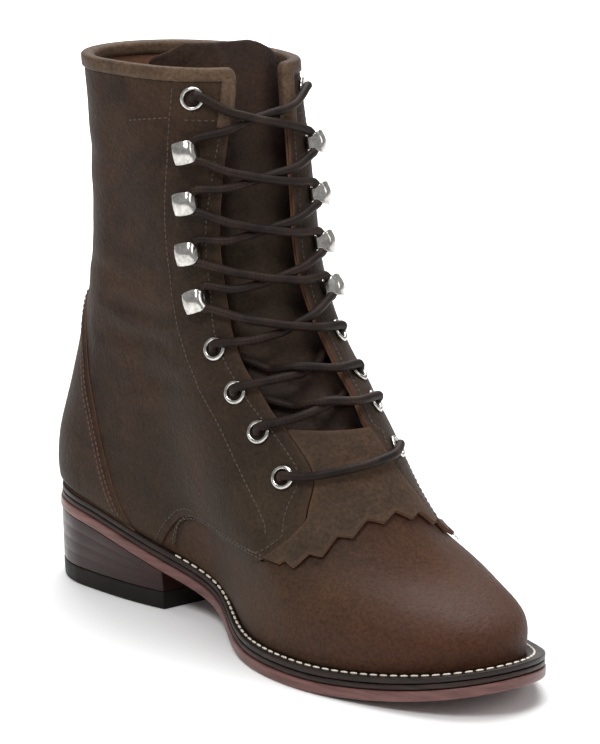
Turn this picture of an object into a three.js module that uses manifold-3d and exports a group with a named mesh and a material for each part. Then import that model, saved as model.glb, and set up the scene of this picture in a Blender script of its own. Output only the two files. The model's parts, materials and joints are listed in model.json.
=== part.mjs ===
// Lace-up roper boot, the left boot of a pair, standing empty on its sole.
// Millimetres. +X runs to the toe, +Y to the boot's own left (the outer side of the foot), +Z up.
// The origin is the centre of the heel's underside.
import * as THREE from 'three';
import { mergeVertices } from 'three/addons/utils/BufferGeometryUtils.js';
import Module from 'manifold-3d';

const wasm = await Module();
wasm.setup();

// Driving sizes of the last
const LENGTH = 281;
const BALL_WIDTH = 100;
const HEEL_HEIGHT = 32;
const INSTEP_HEIGHT = 90;
const SHAFT_HEIGHT = 197.5;
const COLLAR_RISE = 2;
const TOE_SPRING = 12;

// Sole
const OUTSOLE = 4.6;
const MIDSOLE = 2.4;
const WELT = 2.6;
const WELT_MARGIN = 6;
const WELT_INSIDE = 6;
const INSOLE = 3;
const HEEL_LENGTH = 87;
const HEEL_CAP = 8;
const HEEL_INSET = 0.6;
const HEEL_TAPER = 2;

// Leather
const WALL = 2.2;
const LAP = 1.4;
const BINDING = 0.9;
const BINDING_DEPTH = 5;
const COUNTER = 1.2;
const KILTIE = 1.4;
const TONGUE = 3;
const TONGUE_REACH = 7;

// Throat and lacing
const THROAT_WIDTH = 32;
const EYELET_HOLE = 6.4;
const EYELET_BARREL = 0.4;
const EYELET_RIM = 10.6;
const EYELET_THICK = 0.9;
const LACE = 4;
const HOOK_WIDTH = 8.5;
const HOOK_LENGTH = 9.5;
const HOOK_PLATE = 1;
const EYELET_SIDES = 8;
const LACE_SIDES = 6;
const LACE_STEPS = 7;

// Clearances between pieces
const GAP = 0.3;
const EYELET_GAP = 0.6;
const EDGE_GAP = 0.5;

// How finely the last is divided
const ROWS = 16;
const COLUMNS = 44;
const STATIONS = COLUMNS / 2;
// Share of a row left off the raised quarters at the feather edge and the collar
const EDGE_TRIM = 0.4;

// The feather edge, where the upper meets the sole: half width and shift to the inner side as
// shares of the ball width, and how far the sole stands out as a share of the welt margin.
const FEATHER = [
  { at: 0.00, half: 0.352, shift: 0.010, margin: 0.50 },
  { at: 0.13, half: 0.358, shift: 0.008, margin: 0.43 },
  { at: 0.30, half: 0.323, shift: -0.010, margin: 0.43 },
  { at: 0.42, half: 0.304, shift: -0.052, margin: 0.50 },
  { at: 0.55, half: 0.423, shift: -0.012, margin: 0.70 },
  { at: 0.68, half: 0.505, shift: 0.006, margin: 0.92 },
  { at: 0.80, half: 0.477, shift: 0.012, margin: 1.03 },
  { at: 0.90, half: 0.424, shift: 0.034, margin: 1.25 },
  { at: 1.00, half: 0.402, shift: 0.050, margin: 1.58 },
];

// Rows of the last from the feather edge up to the collar. Each row is a loop that leans from
// a point on the back line to a point on the front ridge.
// back: height of the back point, share of the shaft height. back_x, ridge_x: shares of the length.
// rise: height of the ridge point, 0 at the toe's feather edge, 1 at the instep, 2 at the collar.
// heel, waist, ball: half widths, and round: the heel's rounding, shares of the ball width.
// nose: length of the front rounding, share of the length. square: how square that rounding is.
// follow: how closely the row keeps to the curve of the sole.
const LAST = [
  { back: 0.000, back_x: 0.0107, ridge_x: 0.966, rise: 0.000, heel: 0.326, waist: 0.300, ball: 0.480,
    nose: 0.270, square: 2.15, round: 0.35, follow: 1.00 },
  { back: 0.046, back_x: 0.0068, ridge_x: 0.963, rise: 0.076, heel: 0.350, waist: 0.345, ball: 0.498,
    nose: 0.285, square: 2.15, round: 0.36, follow: 0.80 },
  { back: 0.090, back_x: 0.0050, ridge_x: 0.951, rise: 0.156, heel: 0.358, waist: 0.370, ball: 0.500,
    nose: 0.299, square: 2.15, round: 0.36, follow: 0.60 },
  { back: 0.134, back_x: 0.0068, ridge_x: 0.911, rise: 0.225, heel: 0.360, waist: 0.386, ball: 0.490,
    nose: 0.313, square: 2.15, round: 0.36, follow: 0.42 },
  { back: 0.178, back_x: 0.0135, ridge_x: 0.853, rise: 0.280, heel: 0.358, waist: 0.396, ball: 0.476,
    nose: 0.327, square: 2.15, round: 0.36, follow: 0.26 },
  { back: 0.226, back_x: 0.0224, ridge_x: 0.799, rise: 0.355, heel: 0.354, waist: 0.396, ball: 0.458,
    nose: 0.327, square: 2.10, round: 0.35, follow: 0.13 },
  { back: 0.275, back_x: 0.0324, ridge_x: 0.747, rise: 0.521, heel: 0.349, waist: 0.392, ball: 0.435,
    nose: 0.313, square: 2.05, round: 0.34, follow: 0.04 },
  { back: 0.329, back_x: 0.0413, ridge_x: 0.694, rise: 0.737, heel: 0.344, waist: 0.384, ball: 0.415,
    nose: 0.285, square: 2.00, round: 0.34, follow: 0.00 },
  { back: 0.392, back_x: 0.0490, ridge_x: 0.627, rise: 1.000, heel: 0.340, waist: 0.372, ball: 0.390,
    nose: 0.256, square: 2.00, round: 0.33, follow: 0.00 },
  { back: 0.460, back_x: 0.0555, ridge_x: 0.565, rise: 1.115, heel: 0.343, waist: 0.365, ball: 0.373,
    nose: 0.221, square: 2.10, round: 0.32, follow: 0.00 },
  { back: 0.528, back_x: 0.0616, ridge_x: 0.514, rise: 1.228, heel: 0.345, waist: 0.361, ball: 0.361,
    nose: 0.199, square: 2.19, round: 0.32, follow: 0.00 },
  { back: 0.596, back_x: 0.0670, ridge_x: 0.479, rise: 1.340, heel: 0.351, waist: 0.363, ball: 0.361,
    nose: 0.185, square: 2.27, round: 0.32, follow: 0.00 },
  { back: 0.669, back_x: 0.0694, ridge_x: 0.454, rise: 1.462, heel: 0.359, waist: 0.369, ball: 0.367,
    nose: 0.185, square: 2.36, round: 0.32, follow: 0.00 },
  { back: 0.747, back_x: 0.0673, ridge_x: 0.436, rise: 1.592, heel: 0.370, waist: 0.380, ball: 0.378,
    nose: 0.185, square: 2.44, round: 0.33, follow: 0.00 },
  { back: 0.830, back_x: 0.0616, ridge_x: 0.414, rise: 1.728, heel: 0.382, waist: 0.392, ball: 0.390,
    nose: 0.185, square: 2.53, round: 0.34, follow: 0.00 },
  { back: 0.917, back_x: 0.0540, ridge_x: 0.391, rise: 1.867, heel: 0.396, waist: 0.406, ball: 0.402,
    nose: 0.185, square: 2.61, round: 0.35, follow: 0.00 },
  { back: 1.000, back_x: 0.0480, ridge_x: 0.370, rise: 2.000, heel: 0.408, waist: 0.418, ball: 0.412,
    nose: 0.185, square: 2.70, round: 0.36, follow: 0.00 },
];
const WIDTH_STATIONS = [0.13, 0.42, 0.70];

// The sole's underside: where the seat ends, and the stretch of tread that lies flat
const SEAT_END = 0.064;
const TREAD_START = 0.60;
const TREAD_END = 0.705;
// Heights over which the left and right curve of the sole fades out of the upper
const CURVE_FADE = [0.21, 0.62];

// The gap between the flaps, against height as a share of the collar's: its half width, share of its
// named width, and how far its middle lies to the inner side, share of the ball width. The wall is
// open from the throat's foot upward, and below it the flaps part over the vamp.
const THROAT_FOOT = 0.372;
const THROAT = [
  { height: 0.250, half: 0.860, shift: 0.097 },
  { height: 0.300, half: 0.680, shift: 0.107 },
  { height: 0.338, half: 0.545, shift: 0.114 },
  { height: 0.372, half: 0.505, shift: 0.123 },
  { height: 0.410, half: 0.480, shift: 0.139 },
  { height: 0.480, half: 0.538, shift: 0.132 },
  { height: 0.600, half: 0.497, shift: 0.125 },
  { height: 0.780, half: 0.506, shift: 0.102 },
  { height: 1.000, half: 0.470, shift: 0.000 },
  { height: 1.150, half: 0.470, shift: -0.050 },
];

// The quarter's edge over the vamp, seen from the side: x as a share of the length, height as a
// share of the instep's, and how much further forward it lies on the outer side, share of the length
const QUARTER_EDGE = [
  { x: 0.300, height: 0.200, outer: 0.000 },
  { x: 0.335, height: 0.340, outer: 0.000 },
  { x: 0.372, height: 0.420, outer: 0.000 },
  { x: 0.440, height: 0.415, outer: 0.000 },
  { x: 0.520, height: 0.400, outer: 0.000 },
  { x: 0.593, height: 0.390, outer: 0.000 },
  { x: 0.622, height: 0.455, outer: 0.040 },
  { x: 0.644, height: 0.560, outer: 0.075 },
  { x: 0.656, height: 0.670, outer: 0.065 },
  { x: 0.650, height: 0.770, outer: 0.055 },
  { x: 0.631, height: 0.870, outer: 0.045 },
  { x: 0.607, height: 0.960, outer: 0.040 },
];

// The counter's edge, seen from the side: x and height as shares of the length and the instep
const COUNTER_EDGE = [
  { x: -0.10, height: 1.360 },
  { x: 0.060, height: 1.370 },
  { x: 0.088, height: 1.310 },
  { x: 0.108, height: 1.180 },
  { x: 0.150, height: 0.900 },
  { x: 0.178, height: 0.700 },
  { x: 0.204, height: 0.520 },
  { x: 0.230, height: 0.370 },
  { x: 0.262, height: 0.220 },
];

// The fringed tongue flap: its teeth lie on an arc in plan
const KILTIE_FRONT = 0.738;
const KILTIE_SIDE = 0.612;
const KILTIE_HALF = 0.50;
const KILTIE_TEETH = 11;
const KILTIE_NOTCH = 2.8;
const KILTIE_TOP = 0.97;
const KILTIE_BACK = 0.30;
const KILTIE_ROWS = [0.25, 0.60];
const KILTIE_COLUMN = 0.44;

// The stretch of the last that the counter is cut from
const COUNTER_ROWS = [0.02, 0.62];
const COUNTER_COLUMN = 0.58;

// The tongue: where it starts, share of the way up, how far it lies to the inner side and its half
// width, shares of half a loop. It grows from foot to middle and shrinks again above the collar.
const TONGUE_FOOT = 0.36;
const TONGUE_SHIFT = 0.11;
const TONGUE_FOOT_HALF = 0.20;
const TONGUE_HALF = 0.30;
const TONGUE_GROWS = 0.20;
const TONGUE_SHRINK = 0.42;
const TONGUE_ROWS = 14;
const TONGUE_COLUMNS = 8;

// Shares of the length that bound the cutting outlines of the quarters and the throat
const QUARTER_REACH = 0.60;
const THROAT_BACK = 0.24;

// Lacing rows from the bottom up: row, share of the way up the last; shift, how far the row lies to
// the inner side, and across, half its width, shares of half a loop; outer, how much higher it lies
// on the outer side, and bow, how far the lace above it climbs on its way over the ridge, shares of
// the way up
const LACING = [
  { row: 0.421, shift: 0.070, across: 0.202, outer: 0.037, bow: 0.010, kind: 'eyelet' },
  { row: 0.469, shift: 0.086, across: 0.212, outer: 0.040, bow: 0.008, kind: 'eyelet' },
  { row: 0.513, shift: 0.100, across: 0.222, outer: 0.040, bow: 0.006, kind: 'eyelet' },
  { row: 0.583, shift: 0.102, across: 0.225, outer: 0.032, bow: 0.004, kind: 'eyelet' },
  { row: 0.660, shift: 0.102, across: 0.222, outer: 0.020, bow: 0.002, kind: 'hook' },
  { row: 0.738, shift: 0.098, across: 0.220, outer: 0.012, bow: 0.001, kind: 'hook' },
  { row: 0.815, shift: 0.086, across: 0.214, outer: 0.004, bow: 0.000, kind: 'hook' },
  { row: 0.886, shift: 0.060, across: 0.211, outer: 0.000, bow: 0.000, kind: 'hook' },
  { row: 0.960, shift: 0.025, across: 0.200, outer: 0.000, bow: 0.000, kind: 'eyelet' },
];
// A hook's section: along, share of half its length from the neck (-1) to the lip (1), and its
// height in plate thicknesses and in shares of the room for the lace
const HOOK_SECTION = [
  { along: 1.00, plates: 0.0, room: 0.00 },
  { along: 1.00, plates: 1.0, room: 0.00 },
  { along: -0.68, plates: 1.0, room: 0.00 },
  { along: -0.79, plates: 1.0, room: 0.11 },
  { along: -0.79, plates: 1.0, room: 0.87 },
  { along: -0.66, plates: 1.0, room: 1.00 },
  { along: 0.50, plates: 1.0, room: 1.00 },
  { along: 0.95, plates: 0.2, room: 1.00 },
  { along: 1.10, plates: 0.8, room: 1.00 },
  { along: 0.60, plates: 2.0, room: 1.00 },
  { along: -0.79, plates: 2.0, room: 1.00 },
  { along: -1.00, plates: 1.0, room: 0.93 },
  { along: -1.00, plates: 0.0, room: 0.00 },
];

// A strand's way over the lacing, in shares of the way from its eyelet or hook to the next one
const LACE_START = 0.13;
const LACE_EDGE = 0.26;
const LACE_MIDDLE = 0.50;
const LACE_DIP = 0.60;
const LACE_UNDER = 0.68;
const LACE_HIDDEN = 0.78;
const LACE_END = 0.90;
const DIP_DEPTH = 1.6;
// How far up the last the lace lies above and below a hook's middle
const HOOK_SHIFT = 0.012;

const INNER_SIDE = -1;
const SIDES = [{ name: 'inner', sign: INNER_SIDE }, { name: 'outer', sign: -INNER_SIDE }];

// Curves

function naturalSpline(xs, ys) {
  const n = xs.length;
  const h = xs.slice(1).map((x, i) => x - xs[i]);
  const upper = new Array(n).fill(0);
  const right = new Array(n).fill(0);
  for (let i = 1; i < n - 1; i++) {
    const pull = (ys[i + 1] - ys[i]) / h[i] - (ys[i] - ys[i - 1]) / h[i - 1];
    const pivot = 2 * (h[i - 1] + h[i]) - h[i - 1] * upper[i - 1];
    upper[i] = h[i] / pivot;
    right[i] = (6 * pull - h[i - 1] * right[i - 1]) / pivot;
  }
  const bend = new Array(n).fill(0);
  for (let i = n - 2; i > 0; i--) bend[i] = right[i] - upper[i] * bend[i + 1];
  return (x) => {
    let i = 0;
    while (i < n - 2 && x > xs[i + 1]) i++;
    const t = x - xs[i];
    const cubic = (bend[i + 1] - bend[i]) / (6 * h[i]);
    const linear = (ys[i + 1] - ys[i]) / h[i] - h[i] * (2 * bend[i] + bend[i + 1]) / 6;
    return ys[i] + t * (linear + t * (bend[i] / 2 + t * cubic));
  };
}

function columnSpline(table, key, name) {
  return naturalSpline(table.map((row) => row[key]), table.map((row) => row[name]));
}

const clamp = THREE.MathUtils.clamp;
const lerp = THREE.MathUtils.lerp;
const smooth = (t) => THREE.MathUtils.smoothstep(t, 0, 1);
// Cosine spacing, dense at both ends
const eased = (t) => (1 - Math.cos(Math.PI * t)) / 2;

// The sole's profile

const halfShare = columnSpline(FEATHER, 'at', 'half');
const shiftShare = columnSpline(FEATHER, 'at', 'shift');
const marginShare = columnSpline(FEATHER, 'at', 'margin');

const FEATHER_BACK = FEATHER[0].margin * WELT_MARGIN;
const FEATHER_TOE = LENGTH - FEATHER.at(-1).margin * WELT_MARGIN;
const FEATHER_LENGTH = FEATHER_TOE - FEATHER_BACK;
const BUILD_UP = OUTSOLE + MIDSOLE + WELT + 3 * GAP;

function bottomZ(x) {
  const seat = SEAT_END * LENGTH;
  const treadStart = TREAD_START * LENGTH;
  const treadEnd = TREAD_END * LENGTH;
  if (x < treadStart) return HEEL_HEIGHT * smooth((treadStart - x) / (treadStart - seat));
  if (x < treadEnd) return 0;
  return TOE_SPRING * ((x - treadEnd) / (LENGTH - treadEnd)) ** 2;
}

const featherZ = (x) => bottomZ(x) + BUILD_UP;
const SEAT_Z = featherZ(FEATHER_BACK);
const INSTEP_Z = BUILD_UP + INSTEP_HEIGHT;
const COLLAR_Z = SEAT_Z + SHAFT_HEIGHT;
const COLLAR_FRONT_Z = COLLAR_Z + COLLAR_RISE;

const roundEnd = (distance, reach, power) =>
  Math.max(0, 1 - clamp(1 - distance / reach, 0, 1) ** power) ** (1 / power);

function middleY(share) {
  return INNER_SIDE * shiftShare(share) * BALL_WIDTH;
}

function featherHalf(share) {
  const fromBack = share * FEATHER_LENGTH;
  const toToe = (1 - share) * FEATHER_LENGTH;
  return halfShare(share) * BALL_WIDTH
    * roundEnd(fromBack, LAST[0].round * BALL_WIDTH, 2)
    * roundEnd(toToe, LAST[0].nose * LENGTH, LAST[0].square);
}

// The last's surface

const rowShare = (i) => i / (LAST.length - 1);
const rowSplines = Object.fromEntries(Object.keys(LAST[0]).map((name) =>
  [name, naturalSpline(LAST.map((row, i) => rowShare(i)), LAST.map((row) => row[name]))]));

function rowAt(u) {
  return Object.fromEntries(Object.entries(rowSplines).map(([name, spline]) => [name, spline(u)]));
}

function ridgeZ(rise) {
  if (rise < 1) return lerp(featherZ(FEATHER_TOE), INSTEP_Z, rise);
  return lerp(INSTEP_Z, COLLAR_FRONT_Z, rise - 1);
}

// Half width of a row at a share of the way from its back to its ridge
function rowHalf(row, share, span) {
  const [a, b, c] = WIDTH_STATIONS;
  const s = clamp(share, a, c);
  const width = row.heel * (s - b) * (s - c) / ((a - b) * (a - c))
    + row.waist * (s - a) * (s - c) / ((b - a) * (b - c))
    + row.ball * (s - a) * (s - b) / ((c - a) * (c - b));
  return width * BALL_WIDTH
    * roundEnd(share * span, row.round * BALL_WIDTH, 2)
    * roundEnd((1 - share) * span, row.nose * LENGTH, row.square);
}

// A point of the last: u runs from the feather edge (0) to the collar (1), and v from the
// ridge (0) to the back line (1 and -1), positive on the boot's left.
function lastPoint(u, v) {
  const turn = v - 2 * Math.round(v / 2);
  const row = rowAt(Math.min(u, 1));
  const backX = row.back_x * LENGTH;
  const span = row.ridge_x * LENGTH - backX;
  const share = eased(1 - Math.abs(turn));
  const x = backX + span * share;
  const lineZ = lerp(SEAT_Z + SHAFT_HEIGHT * row.back, ridgeZ(row.rise), share);
  const solePoint = FEATHER_BACK + share * FEATHER_LENGTH;
  const follow = clamp(row.follow, 0, 1);
  const sag = featherZ(solePoint) - lerp(SEAT_Z, featherZ(FEATHER_TOE), share);
  const z = lineZ + follow * sag;
  const first = LAST[0];
  const correction = featherHalf(share) - rowHalf(first, share, FEATHER_LENGTH);
  const half = rowHalf(row, share, span) + correction * follow * follow;
  const fade = smooth((CURVE_FADE[1] * COLLAR_Z - z) / ((CURVE_FADE[1] - CURVE_FADE[0]) * COLLAR_Z));
  const y = middleY(share) * fade + Math.sign(turn) * Math.max(half, 0);
  const point = new THREE.Vector3(x, y, z);
  if (u <= 1) return point;
  const step = 1 / ROWS;
  const slope = point.clone().sub(lastPoint(1 - step, v)).divideScalar(step);
  return point.addScaledVector(slope, u - 1);
}

const NUDGE = 0.004;
const LEVEL_REACH = 0.1;

// Outward normal, turned level at the feather edge and at the collar
function lastNormal(u, v) {
  const low = clamp(u - NUDGE, 0, 1 - 2 * NUDGE);
  const along = lastPoint(low + 2 * NUDGE, v).sub(lastPoint(low, v));
  const across = lastPoint(clamp(u, 0, 1), v + NUDGE).sub(lastPoint(clamp(u, 0, 1), v - NUDGE));
  const normal = across.cross(along).normalize();
  const level = Math.max(1 - u / LEVEL_REACH, 1 - (1 - u) / LEVEL_REACH);
  normal.z *= 1 - clamp(level, 0, 1);
  return normal.normalize();
}

function offsetPoint(u, v, offset) {
  return lastPoint(u, v).addScaledVector(lastNormal(u, v), offset);
}

// Solids

function closedGeometry(points, faces) {
  const geometry = new THREE.BufferGeometry();
  geometry.setAttribute('position', new THREE.Float32BufferAttribute(points.flatMap((p) => p.toArray()), 3));
  geometry.setIndex(faces);
  return geometry;
}

function toSolid(geometry) {
  const bare = geometry.index ? geometry.clone() : geometry;
  bare.deleteAttribute('normal');
  bare.deleteAttribute('uv');
  const merged = mergeVertices(bare, 1e-4);
  return new wasm.Manifold(new wasm.Mesh({
    numProp: 3,
    vertProperties: new Float32Array(merged.attributes.position.array),
    triVerts: new Uint32Array(merged.index.array),
  }));
}

function toGeometry(solid) {
  const mesh = solid.getMesh();
  const geometry = new THREE.BufferGeometry();
  geometry.setAttribute('position', new THREE.Float32BufferAttribute(mesh.vertProperties, 3));
  geometry.setIndex(Array.from(mesh.triVerts));
  return geometry;
}

// A solid between two grids of points. A ring grid closes on itself from column to column.
function shell(outer, inner, ring) {
  const rows = outer.length;
  const columns = outer[0].length;
  const points = [...outer.flat(), ...inner.flat()];
  const at = (layer, i, j) => layer * rows * columns + i * columns + (j % columns);
  const faces = [];
  const quad = (a, b, c, d) => faces.push(a, b, c, a, c, d);
  const last = ring ? columns : columns - 1;
  for (let j = 0; j < last; j++) {
    for (let i = 0; i < rows - 1; i++) {
      quad(at(0, i, j), at(0, i, j + 1), at(0, i + 1, j + 1), at(0, i + 1, j));
      quad(at(1, i, j), at(1, i + 1, j), at(1, i + 1, j + 1), at(1, i, j + 1));
    }
    quad(at(0, 0, j), at(1, 0, j), at(1, 0, j + 1), at(0, 0, j + 1));
    quad(at(0, rows - 1, j), at(0, rows - 1, j + 1), at(1, rows - 1, j + 1), at(1, rows - 1, j));
  }
  if (!ring) {
    for (let i = 0; i < rows - 1; i++) {
      quad(at(0, i, 0), at(0, i + 1, 0), at(1, i + 1, 0), at(1, i, 0));
      quad(at(0, i, last), at(1, i, last), at(1, i + 1, last), at(0, i + 1, last));
    }
  }
  return closedGeometry(points, faces);
}

// Rows of points of the last between two shares, offset outward
function patch(rows, columns, offset) {
  return rows.map((u) => columns.map((v) => offsetPoint(u, v, offset)));
}

const steps = (from, to, count) => Array.from({ length: count + 1 }, (_, i) => lerp(from, to, i / count));
// Columns once around the last, from the back line by the right side to the ridge and round
const LOOP = steps(-1, 1, COLUMNS).slice(0, -1);

// Rows and columns that keep to the upper's own, so that stacked pieces bend alike
function keepTo(step, from, to) {
  const first = Math.ceil(from / step + NUDGE);
  const last = Math.floor(to / step - NUDGE);
  return [from, ...Array.from({ length: last - first + 1 }, (_, i) => (first + i) * step), to];
}
const rowsBetween = (from, to) => keepTo(1 / ROWS, from, to);
const columnsBetween = (from, to) => keepTo(2 / COLUMNS, from, to);

// A prism from an outline. 'y' takes points as (x, z), 'x' as (y, z) and 'z' as (x, y).
function prism(points, axis, from, to) {
  const shape = new THREE.Shape(points.map(([a, b]) => new THREE.Vector2(a, b)));
  const geometry = new THREE.ExtrudeGeometry(shape, { depth: to - from, bevelEnabled: false, steps: 1 });
  geometry.translate(0, 0, axis === 'y' ? -to : from);
  if (axis !== 'z') geometry.rotateX(Math.PI / 2);
  if (axis === 'x') geometry.rotateZ(Math.PI / 2);
  return toSolid(geometry);
}

// Moves an open outline sideways, to its left as it runs
function shiftOutline(points, distance) {
  return points.map(([x, y], i) => {
    const [ax, ay] = points[Math.max(i - 1, 0)];
    const [bx, by] = points[Math.min(i + 1, points.length - 1)];
    const run = Math.hypot(bx - ax, by - ay);
    return [x - distance * (by - ay) / run, y + distance * (bx - ax) / run];
  });
}

// Sole

// A point of the sole's outline: t runs from heel to toe, side is -1 or 1, and offset is
// measured outward from the feather edge
function outlinePoint(t, side, offset) {
  const plan = (s) => {
    const share = eased(clamp(s, 0, 1));
    const y = middleY(share) + side * featherHalf(share);
    return new THREE.Vector2(FEATHER_BACK + share * FEATHER_LENGTH, y);
  };
  const point = plan(t);
  if (t <= 0) return point.add(new THREE.Vector2(-offset, 0));
  if (t >= 1) return point.add(new THREE.Vector2(offset, 0));
  const run = plan(t + NUDGE).sub(plan(t - NUDGE)).normalize();
  return point.add(new THREE.Vector2(-side * run.y, side * run.x).multiplyScalar(offset));
}

function soleMargin(t) {
  return marginShare(eased(t)) * WELT_MARGIN;
}

// Shares of the way along the sole, up to endX where that is given
function soleStations(endX) {
  const all = steps(0, 1, STATIONS);
  if (!Number.isFinite(endX)) return all;
  const end = Math.acos(1 - 2 * (endX - FEATHER_BACK) / FEATHER_LENGTH) / Math.PI;
  return [...all.filter((t) => t < end - NUDGE), end];
}

// A loop from the heel along the right side to the toe and back on the left. inset(t) pulls it
// in from the sole's edge, and it is cut square at endX where that is given.
function soleLoop(zOf, inset, endX = Infinity) {
  const whole = !Number.isFinite(endX);
  const stations = soleStations(endX);
  const side = (sign, list) => list.map((t) => {
    const p = outlinePoint(t, sign, soleMargin(t) - inset(t));
    const x = !whole && t === stations.at(-1) ? endX : Math.min(p.x, endX);
    return new THREE.Vector3(x, p.y, zOf(x));
  });
  const left = stations.slice(1, whole ? -1 : undefined);
  return [...side(-1, stations), ...side(1, left).reverse()];
}

// A closed plate between two loops of the same outline, paired from side to side
function plateBetween(low, high) {
  const n = low.length;
  const faces = [];
  const mate = (i) => (n - i) % n;
  for (let i = 0; i < n; i++) {
    const j = (i + 1) % n;
    faces.push(i, j, n + j, i, n + j, n + i);
  }
  for (let i = 0; i < Math.floor(n / 2); i++) {
    const [a, b, c, d] = [i, i + 1, mate(i + 1), mate(i)];
    for (const [p, q, r] of [[a, b, c], [a, c, d]]) {
      if (p === q || q === r || p === r) continue;
      faces.push(p, r, q);
      faces.push(n + p, n + q, n + r);
    }
  }
  return closedGeometry([...low, ...high], faces);
}

// Height of the sole's underside raised by a fixed amount
const raised = (height) => (x) => bottomZ(x) + height;

function heelTop(x) {
  return bottomZ(x) - GAP;
}

function makeHeelCap() {
  const deep = HEEL_INSET + HEEL_TAPER;
  const topInset = deep - HEEL_TAPER * HEEL_CAP / HEEL_HEIGHT;
  const low = soleLoop(() => 0, () => deep, HEEL_LENGTH);
  const high = soleLoop(() => HEEL_CAP, () => topInset, HEEL_LENGTH);
  return plateBetween(low, high);
}

function makeHeelStack() {
  const floor = HEEL_CAP + GAP;
  const deep = HEEL_INSET + HEEL_TAPER * (1 - floor / HEEL_HEIGHT);
  const low = soleLoop(() => floor, () => deep, HEEL_LENGTH);
  const high = soleLoop(heelTop, () => HEEL_INSET, HEEL_LENGTH);
  return plateBetween(low, high);
}

function makeOutsole() {
  const edge = () => 0;
  return plateBetween(soleLoop(bottomZ, edge), soleLoop(raised(OUTSOLE), edge));
}

function makeMidsole() {
  const low = OUTSOLE + GAP;
  const edge = () => EDGE_GAP;
  return plateBetween(soleLoop(raised(low), edge), soleLoop(raised(low + MIDSOLE), edge));
}

function makeInsole() {
  const low = BUILD_UP + GAP;
  const edge = (t) => soleMargin(t) + WALL + EDGE_GAP;
  return plateBetween(soleLoop(raised(low), edge), soleLoop(raised(low + INSOLE), edge));
}

// The welt is a flat ring, from the sole's edge to under the upper's wall
function makeWelt() {
  const low = OUTSOLE + MIDSOLE + 2 * GAP;
  const ring = (inset) => [soleLoop(raised(low), inset), soleLoop(raised(low + WELT), inset)];
  return shell(ring(() => EDGE_GAP), ring((t) => soleMargin(t) + WELT_INSIDE), true);
}

// Cutting outlines

const sideOutline = (table) => table.map((p) => [p.x * LENGTH, BUILD_UP + p.height * INSTEP_HEIGHT]);
// The plane between the flaps, from which each side's outline is its own
const PART_Y = INNER_SIDE * THROAT[0].shift * BALL_WIDTH;

function curveThrough(points, divisions) {
  const curve = new THREE.SplineCurve(points.map(([x, y]) => new THREE.Vector2(x, y)));
  return curve.getPoints(divisions).map((p) => [p.x, p.y]);
}

// Everything behind the quarter's edge on one side; grow moves the edge forward
function quarterSide(sign, grow) {
  const reach = sign === INNER_SIDE ? 0 : 1;
  const table = QUARTER_EDGE.map((p) => ({ x: p.x + reach * p.outer, height: p.height }));
  const edge = shiftOutline(curveThrough(sideOutline(table), 16), -grow);
  const [startX] = edge[0];
  const above = COLLAR_Z + INSTEP_HEIGHT;
  const behind = -LENGTH;
  const frontX = QUARTER_REACH * LENGTH;
  const outline = [[behind, -HEEL_HEIGHT], [startX, -HEEL_HEIGHT], ...edge,
    [frontX, INSTEP_Z + INSTEP_HEIGHT / 2], [frontX, above], [behind, above]];
  const ends = [PART_Y - sign * GAP, sign * BALL_WIDTH];
  return prism(outline, 'y', Math.min(...ends), Math.max(...ends));
}

// Both quarters, parted between the flaps
function quarterPrism(grow) {
  return quarterSide(1, grow).add(quarterSide(-1, grow)).subtract(throatPrism(grow, THROAT[0].height));
}

const throatWidth = columnSpline(THROAT, 'height', 'half');
const throatShift = columnSpline(THROAT, 'height', 'shift');

// The throat's edge on one side at a height
function throatEdge(z, sign) {
  const height = z / COLLAR_Z;
  return INNER_SIDE * throatShift(height) * BALL_WIDTH + sign * throatWidth(height) * THROAT_WIDTH;
}

// The opening between the flaps, seen from the front; shrink narrows it
function throatPrism(shrink, foot) {
  const heights = steps(foot * COLLAR_Z + shrink, THROAT.at(-1).height * COLLAR_Z, 9);
  const edge = (sign) => heights.map((z) => [throatEdge(z, sign) - sign * shrink, z]);
  return prism([...edge(1), ...edge(-1).reverse()], 'x', THROAT_BACK * LENGTH, LENGTH);
}

// Upper and what is sewn to it

function makeUpper() {
  const rows = steps(0, 1, ROWS);
  const vamp = toSolid(shell(patch(rows, LOOP, 0), patch(rows, LOOP, -WALL), true));
  const trim = EDGE_TRIM / ROWS;
  const inside = rowsBetween(trim, 1 - trim);
  const form = toSolid(shell(patch(inside, LOOP, LAP), patch(inside, LOOP, -WALL / 2), true));
  const quarter = form.intersect(quarterPrism(0));
  let upper = vamp.add(quarter).subtract(throatPrism(0, THROAT_FOOT));
  for (const { sign } of SIDES) {
    for (const spot of LACING.filter((p) => p.kind === 'eyelet')) {
      upper = upper.subtract(eyeletBore(spot, sign));
    }
  }
  return toGeometry(upper);
}

const lacingRow = (spot, sign) => spot.row + (sign === INNER_SIDE ? 0 : spot.outer);
const lacingColumn = (spot, sign) => INNER_SIDE * spot.shift + sign * spot.across;

// Position and directions at a lacing spot: out of the leather, and away from the throat
function laceFrame(spot, sign, offset) {
  const u = lacingRow(spot, sign);
  const v = lacingColumn(spot, sign);
  const out = lastNormal(u, v);
  const rise = lastPoint(u + NUDGE, v).sub(lastPoint(u - NUDGE, v));
  const away = rise.cross(out).multiplyScalar(sign).normalize();
  return { origin: offsetPoint(u, v, offset), out, away };
}

function lathed(profile, segments, frame) {
  const points = profile.map(([r, h]) => new THREE.Vector2(r, h));
  const geometry = new THREE.LatheGeometry([...points, points[0].clone()], segments);
  const turn = new THREE.Quaternion().setFromUnitVectors(new THREE.Vector3(0, 1, 0), frame.out);
  geometry.applyQuaternion(turn);
  geometry.translate(...frame.origin.toArray());
  return geometry;
}

const BORE_RADIUS = EYELET_HOLE / 2 + EYELET_BARREL + GAP;

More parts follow.
